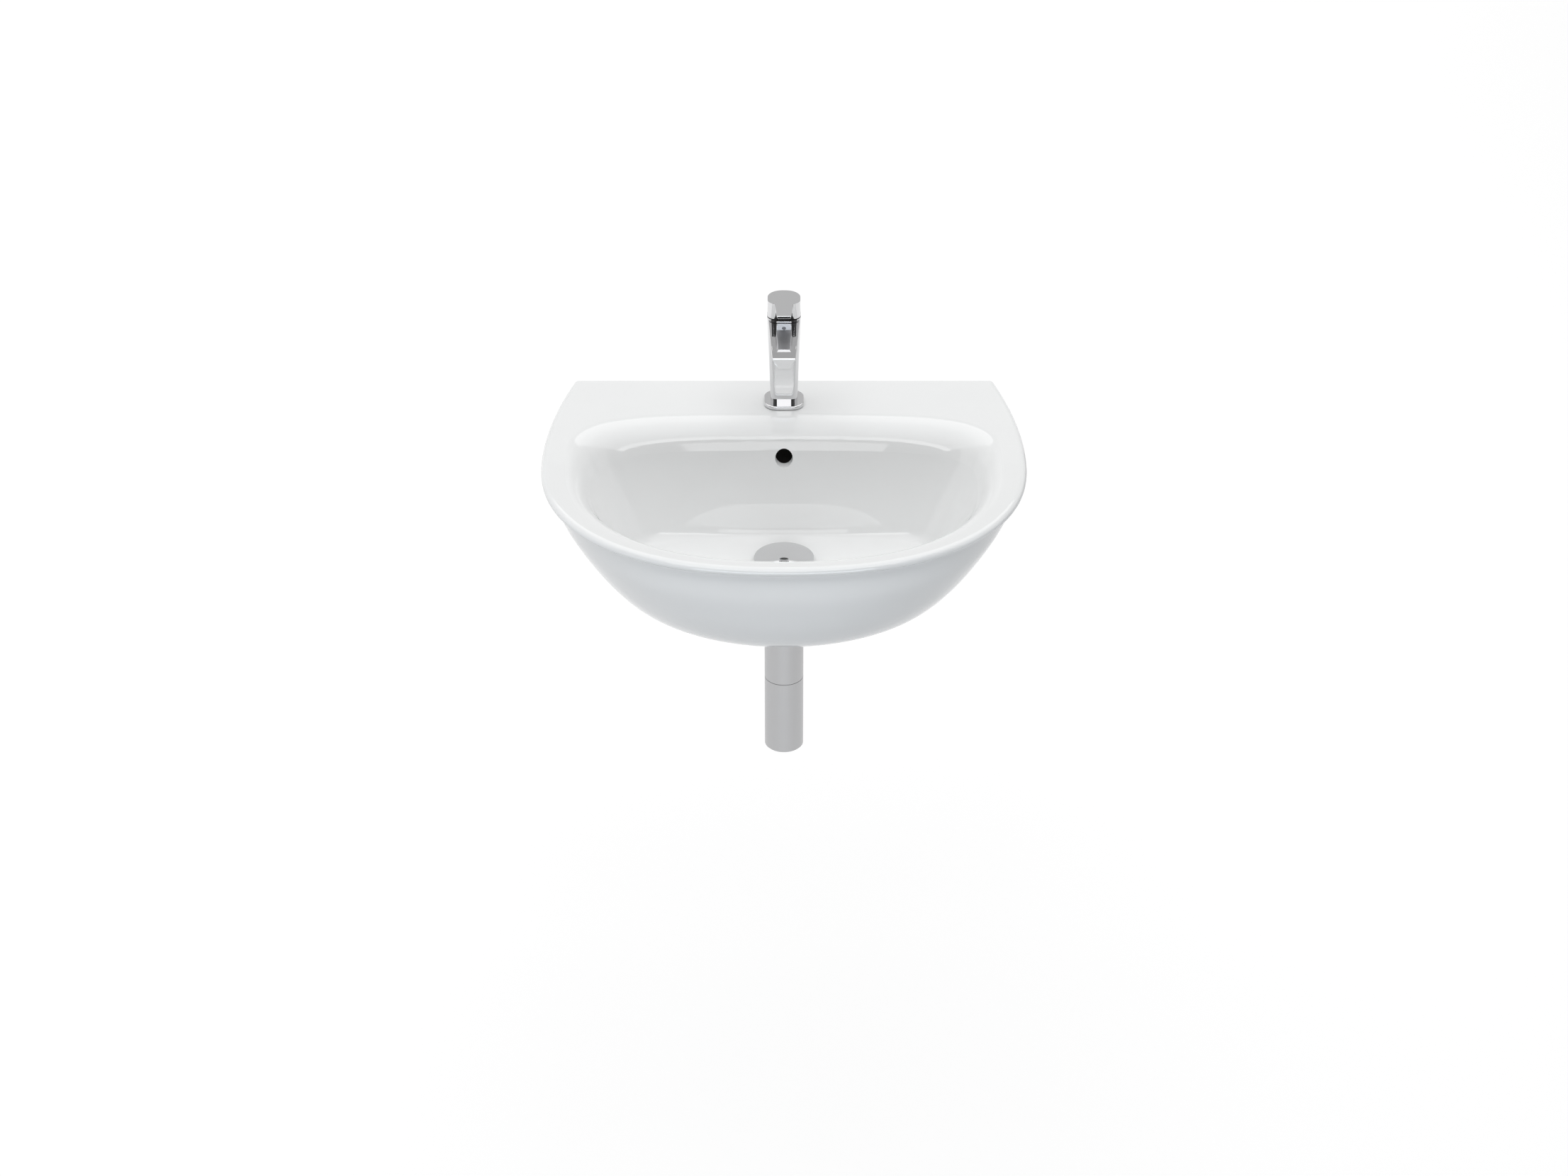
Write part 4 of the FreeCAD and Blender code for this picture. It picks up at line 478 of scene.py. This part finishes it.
class BasinStage(bpy.types.PropertyGroup):
    """Floor, light and camera."""

    floor_drop: bpy.props.FloatProperty(
        name="Floor's depth", description="Wall studs down to the floor", default=0.79, unit="LENGTH"
    )
    camera_back: bpy.props.FloatProperty(
        name="Camera's distance", description="Wall to the camera", default=4.104, unit="LENGTH"
    )
    camera_height: bpy.props.FloatProperty(
        name="Camera's height", description="Wall studs up to the camera", default=2.258, unit="LENGTH"
    )
    camera_tilt: bpy.props.FloatProperty(
        name="Camera's tilt", description="Downwards from level", default=math.radians(31.45), subtype="ANGLE"
    )
    back_low: bpy.props.FloatProperty(
        name="Back, low", description="Tent cloth behind, near the floor", default=0.9, min=0
    )
    back_high: bpy.props.FloatProperty(
        name="Back, high", description="Tent cloth behind, above it", default=0.62, min=0
    )
    back_top: bpy.props.FloatProperty(
        name="Back, top", description="Tent cloth behind, under the roof", default=0.48, min=0
    )
    front_low: bpy.props.FloatProperty(
        name="Front, low", description="Tent cloth before it, near the floor", default=4.9, min=0
    )
    front_high: bpy.props.FloatProperty(
        name="Front, high", description="Tent cloth before it, about the camera", default=0.05, min=0
    )
    left_low: bpy.props.FloatProperty(
        name="Left, low", description="Tent cloth on the left, near the floor", default=1.1, min=0
    )
    left_high: bpy.props.FloatProperty(
        name="Left, high", description="Tent cloth on the left, above it", default=0.76, min=0
    )
    right_low: bpy.props.FloatProperty(
        name="Right, low", description="Tent cloth on the right, near the floor", default=0.28, min=0
    )
    right_high: bpy.props.FloatProperty(
        name="Right, high", description="Tent cloth on the right, above it", default=0.7, min=0
    )
    side_front: bpy.props.FloatProperty(
        name="Sides, front", description="Tent cloth on both sides, towards the camera", default=0.1, min=0
    )
    roof_back: bpy.props.FloatProperty(
        name="Roof, back", description="Tent roof behind the basin", default=1.65, min=0
    )
    roof_middle: bpy.props.FloatProperty(
        name="Roof, middle", description="Tent roof over the basin", default=1.4, min=0
    )
    roof_front: bpy.props.FloatProperty(
        name="Roof, front", description="Tent roof before the basin", default=2.95, min=0
    )
    roof_camera: bpy.props.FloatProperty(
        name="Roof, camera", description="Tent roof over the camera", default=0.05, min=0
    )
    card: bpy.props.FloatProperty(
        name="Card", description="Small lit card above the camera", default=1.8, min=0
    )
    floor_glow: bpy.props.FloatProperty(
        name="Floor's glow", description="Floor's own light on the basin", default=0.0, min=0
    )


def studs_and_nuts(made):
    """M10 studs with their thread, and the nuts on them."""
    low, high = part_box("wall_studs")
    nut_low, nut_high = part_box("fixing_nuts")
    to_wall = (0, 1, 0)
    for side, x in (("left", low.x + STUD_RADIUS), ("right", high.x - STUD_RADIUS)):
        rod = screw("stud_" + side, high.y - low.y, *M10_SCREW, (x, low.y, 0), to_wall)
        stand_for(rod, "wall_studs", "basin", made)
        spot = (x, nut_low.y, 0)
        hexagon = nut("wall_nut_" + side, *M10_NUT, nut_high.y - nut_low.y, spot, to_wall)
        stand_for(hexagon, "fixing_nuts", "basin", made)


def tap_clamp():
    """The M8 stud and the brass nut that hold the tap to the deck."""
    low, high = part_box("clamp_stud")
    middle = (low + high) / 2
    zinc = metal("zinc-plated screw steel", "#A9ABAE", "#BEC0C2", 0.34, 3)
    rod = screw("tap_stud", high.z - low.z, *M8_SCREW, (0, middle.y, low.z), (0, 0, 1))
    stand_for(rod, "clamp_stud", "basin", zinc)
    low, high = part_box("clamp_nut")
    brass = metal("turned brass", "#B8925A", "#C8A468", 0.28, 2)
    hexagon = nut("tap_nut", *M8_NUT, high.z - low.z, (0, middle.y, low.z), (0, 0, 1))
    stand_for(hexagon, "clamp_nut", "basin", brass)


def strainer():
    """The aerator's lattice of fine bars, seen from below."""
    low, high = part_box("aerator_insert")
    middle = (low + high) / 2
    radius = (high.x - low.x) / 2
    points, faces = [], []
    sides = ((0, 1, 3, 2), (4, 6, 7, 5), (0, 4, 5, 1), (2, 3, 7, 6), (0, 2, 6, 4), (1, 5, 7, 3))
    for step in range(-BARS, BARS + 1):
        offset = step * radius / BAR_GAPS
        half = math.sqrt(radius**2 - (abs(offset) + HALF_BAR) ** 2)
        for crossing in (False, True):
            first = len(points)
            for along in (-half, half):
                for across in (offset - HALF_BAR, offset + HALF_BAR):
                    for level in (low.z, high.z - (BAR_STEP if crossing else 0)):
                        spot = (across, along) if crossing else (along, across)
                        points.append((middle.x + spot[0], middle.y + spot[1], level))
            faces += [tuple(first + corner for corner in side) for side in sides]
    item = mesh_object("strainer", points, faces)
    made = moulded("white acetal", "#DADAD6", "#E4E3DF", 0.4, 1.5, 0.02)
    stand_for(item, "aerator_insert", "basin", made)


def plug_dome(made):
    """The plug's mirror-polished cap: a shallow dome with a thin rolled edge over its boss."""
    low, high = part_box("plug_cap")
    middle = (low + high) / 2
    radius = (high.x - low.x) / 2
    under = high.z - low.z - CAP_THICKNESS
    edge, crown = under + DOME_EDGE, under + DOME_CROWN
    rings = [(under, PIN_BORE), (0, PIN_BORE), (0, BOSS_RADIUS), (under, BOSS_RADIUS)]
    rolled = ((under, 0.5), (under + 0.2 * MM, 0.1), (under + 0.5 * MM, 0), (edge - 0.2 * MM, 0.1))
    rings += [(height, radius - inset * MM) for height, inset in rolled]
    dome = radius - DOME_INSET
    for step in range(DOME_RINGS):
        reach = dome * (1 - step / DOME_RINGS)
        rings.append((crown - (crown - edge) * (reach / dome) ** 2, reach))
    cap = around("plug_dome", rings, DOME_STEPS, (middle.x, middle.y, low.z), (0, 0, 1))
    stand_for(cap, "plug_cap", "plug", made)


class BASIN_OT_china(bpy.types.Operator):
    """Glaze the china."""

    bl_idname = "basin.china"
    bl_label = "China"

    def execute(self, context):
        finish(CHINA, glazed_china(context.scene.basin_look))
        return {"FINISHED"}


class BASIN_OT_tap(bpy.types.Operator):
    """Plate the tap and finish what it holds."""

    bl_idname = "basin.tap"
    bl_label = "Tap"

    def execute(self, context):
        look = context.scene.basin_look
        finish(BRIGHT_CHROME, chrome("polished chrome plate", look.chrome_colour, 0.02, 0.03, 20))
        finish(BLACK_ACETAL, moulded("black acetal", "#0B0B0C", "#131314", 0.4, 1.5, 0.02))
        finish(GREY_ACRYLIC, moulded("grey acrylic", "#8C8C90", "#949498", 0.2, 2, 0.01))
        finish(ALUMINA, moulded("lapped alumina", "#ECEAE4", "#F1EFEA", 0.15, 2, 0.01))
        finish(STAINLESS, metal("stainless steel", "#B4B3B0", "#C2C1BE", 0.3, 2))
        tap_clamp()
        strainer()
        return {"FINISHED"}


class BASIN_OT_trap(bpy.types.Operator):
    """Finish the waste's seals and the trap."""

    bl_idname = "basin.trap"
    bl_label = "Waste and trap"

    def execute(self, context):
        look = context.scene.basin_look
        finish(SATIN_CHROME, chrome("satin chrome plate", look.satin_colour, 0.3, 0.08, 6))
        finish(RUBBER, moulded("black rubber", "#0E0E0F", "#171718", 0.6, 1.2, 0.03))
        finish(BRASS, metal("machined brass", "#B8925A", "#C8A468", 0.28, 2))
        plug_dome(bpy.data.materials["polished chrome plate"])
        return {"FINISHED"}


class BASIN_OT_fixings(bpy.types.Operator):
    """Finish the wall fixings."""

    bl_idname = "basin.fixings"
    bl_label = "Fixings"

    def execute(self, context):
        zinc = metal("zinc-plated steel", "#A9ABAE", "#BEC0C2", 0.34, 3)
        finish(ZINC_STEEL, zinc)
        finish(WHITE_NYLON, moulded("white nylon", "#DEDDD8", "#E6E5E1", 0.45, 1.5, 0.02))
        studs_and_nuts(zinc)
        return {"FINISHED"}


def seen_white(tree):
    """1 for rays that show the room to the eye, in the open or in a reflection."""
    rays = add(tree, "ShaderNodeLightPath").outputs
    direct = sum_up(tree, "MAXIMUM", rays["Is Camera Ray"], rays["Is Glossy Ray"])
    return sum_up(tree, "MAXIMUM", direct, rays["Is Transmission Ray"])


def room():
    """A white room, seen past the light tent."""
    world = bpy.data.worlds.new("white room")
    bpy.context.scene.world = world
    world.use_nodes = True
    tree = world.node_tree
    tree.nodes.clear()
    seen = seen_white(tree)
    light = add(tree, "ShaderNodeBackground", None, {"Color": (1, 1, 1, 1), "Strength": seen})
    add(tree, "ShaderNodeOutputWorld", None, {"Surface": light.outputs[0]})


def cloth(name, corners, level, colour="#FFFFFF"):
    """One lit cloth of the light tent, which the camera looks through."""
    item = mesh_object(name, corners, [(0, 1, 2, 3)])
    made, tree = material(name)
    glow = add(tree, "ShaderNodeEmission", None, {"Color": linear(colour), "Strength": level})
    add(tree, "ShaderNodeOutputMaterial", None, {"Surface": glow.outputs[0]})
    item.data.materials.append(made)
    item.visible_camera = False


def tent(stage):
    """A light tent round the basin, bright overhead and low in front, and dark about the camera."""
    side, front, back = TENT_SIDE, TENT_FRONT, TENT_BACK
    low = -stage.floor_drop

    def upright(x0, y0, x1, y1, bottom, top):
        return [(x0, y0, bottom), (x1, y1, bottom), (x1, y1, top), (x0, y0, top)]

    def roof(y0, y1):
        return [(-side, y0, ROOF), (side, y0, ROOF), (side, y1, ROOF), (-side, y1, ROOF)]

    behind = (-side, back, side, back)
    before = (-side, front, side, front)
    cloth("back low", upright(*behind, low, FOOT), stage.back_low)
    cloth("back high", upright(*behind, FOOT, SHADE), stage.back_high)
    cloth("back top", upright(*behind, SHADE, ROOF), stage.back_top)
    cloth("front low", upright(*before, low, FOOT), stage.front_low, "#F1F8FF")
    cloth("front high", upright(*before, FOOT, ROOF), stage.front_high)
    flanks = (
        ("left", -side, stage.left_low, stage.left_high),
        ("right", side, stage.right_low, stage.right_high),
    )
    for name, x, low_level, high_level in flanks:
        cloth(name + " low", upright(x, front, x, back, low, FOOT), low_level)
        cloth(name + " high", upright(x, SIDE_SEAM, x, back, FOOT, ROOF), high_level)
        cloth(name + " front", upright(x, front, x, SIDE_SEAM, FOOT, ROOF), stage.side_front)
    seam_back, seam_middle, seam_front = ROOF_SEAMS
    cloth("roof back", roof(seam_back, back), stage.roof_back)
    cloth("roof middle", roof(seam_middle, seam_back), stage.roof_middle)
    cloth("roof front", roof(seam_front, seam_middle), stage.roof_front)
    cloth("roof camera", roof(front, seam_front), stage.roof_camera)
    card = [
        (-CARD_HALF, *CARD_LOW),
        (CARD_HALF, *CARD_LOW),
        (CARD_HALF, *CARD_HIGH),
        (-CARD_HALF, *CARD_HIGH),
    ]
    cloth("card", card, stage.card)


def floor(stage):
    """A pale floor far below, white to the eye, with the object's soft shadow, and clear from underneath."""
    level = -stage.floor_drop
    corners = [
        (-TENT_SIDE, TENT_FRONT, level),
        (TENT_SIDE, TENT_FRONT, level),
        (TENT_SIDE, TENT_BACK, level),
        (-TENT_SIDE, TENT_BACK, level),
    ]
    item = mesh_object("floor", corners, [(0, 1, 2, 3)])
    made, tree = material("pale floor")
    shadow = add(tree, "ShaderNodeBsdfDiffuse", None, {"Color": linear("#A0A0A0")})
    glow = between(tree, seen_white(tree), stage.floor_glow, FLOOR_WHITE)
    white = add(tree, "ShaderNodeEmission", None, {"Color": (1, 1, 1, 1), "Strength": glow})
    both = add(tree, "ShaderNodeAddShader", None, {0: shadow.outputs[0], 1: white.outputs[0]})
    clear = add(tree, "ShaderNodeBsdfTransparent", None, {"Color": (1, 1, 1, 1)})
    below = add(tree, "ShaderNodeNewGeometry").outputs["Backfacing"]
    sided = add(tree, "ShaderNodeMixShader", None, {0: below, 1: both.outputs[0], 2: clear.outputs[0]})
    add(tree, "ShaderNodeOutputMaterial", None, {"Surface": sided.outputs[0]})
    item.data.materials.append(made)


def camera(stage):
    """The camera, where the photograph's perspective puts it."""
    lens = bpy.data.cameras.new("camera")
    lens.sensor_fit = "HORIZONTAL"
    lens.lens = lens.sensor_width * PHOTO_FOCUS / PHOTO_WIDTH
    item = bpy.data.objects.new("camera", lens)
    bpy.context.collection.objects.link(item)
    item.location = (0, -stage.camera_back, stage.camera_height)
    item.rotation_euler = (math.pi / 2 - stage.camera_tilt, 0, 0)
    bpy.context.scene.camera = item


class BASIN_OT_stage(bpy.types.Operator):
    """Set the floor, the light and the camera."""

    bl_idname = "basin.stage"
    bl_label = "Stage"

    def execute(self, context):
        stage = context.scene.basin_stage
        context.scene.view_settings.view_transform = "Standard"
        room()
        tent(stage)
        floor(stage)
        camera(stage)
        return {"FINISHED"}


class BASIN_PT_panel(bpy.types.Panel):
    """The basin's steps."""

    bl_idname = "BASIN_PT_panel"
    bl_label = "Basin"
    bl_space_type = "VIEW_3D"
    bl_region_type = "UI"
    bl_category = "Basin"

    def draw(self, context):
        for step in STEPS:
            self.layout.operator(step.bl_idname)
        for group in (context.scene.basin_look, context.scene.basin_stage):
            for name in group.__annotations__:
                self.layout.prop(group, name)


STEPS = (BASIN_OT_china, BASIN_OT_tap, BASIN_OT_trap, BASIN_OT_fixings, BASIN_OT_stage)
CLASSES = (BasinLook, BasinStage, *STEPS, BASIN_PT_panel)


def register():
    for item in CLASSES:
        bpy.utils.register_class(item)
    bpy.types.Scene.basin_look = bpy.props.PointerProperty(type=BasinLook)
    bpy.types.Scene.basin_stage = bpy.props.PointerProperty(type=BasinStage)


def unregister():
    del bpy.types.Scene.basin_look
    del bpy.types.Scene.basin_stage
    for item in reversed(CLASSES):
        bpy.utils.unregister_class(item)


def main():
    register()
    for step in STEPS:
        group, name = step.bl_idname.split(".")
        getattr(getattr(bpy.ops, group), name)()


if __name__ == "__main__":
    main()
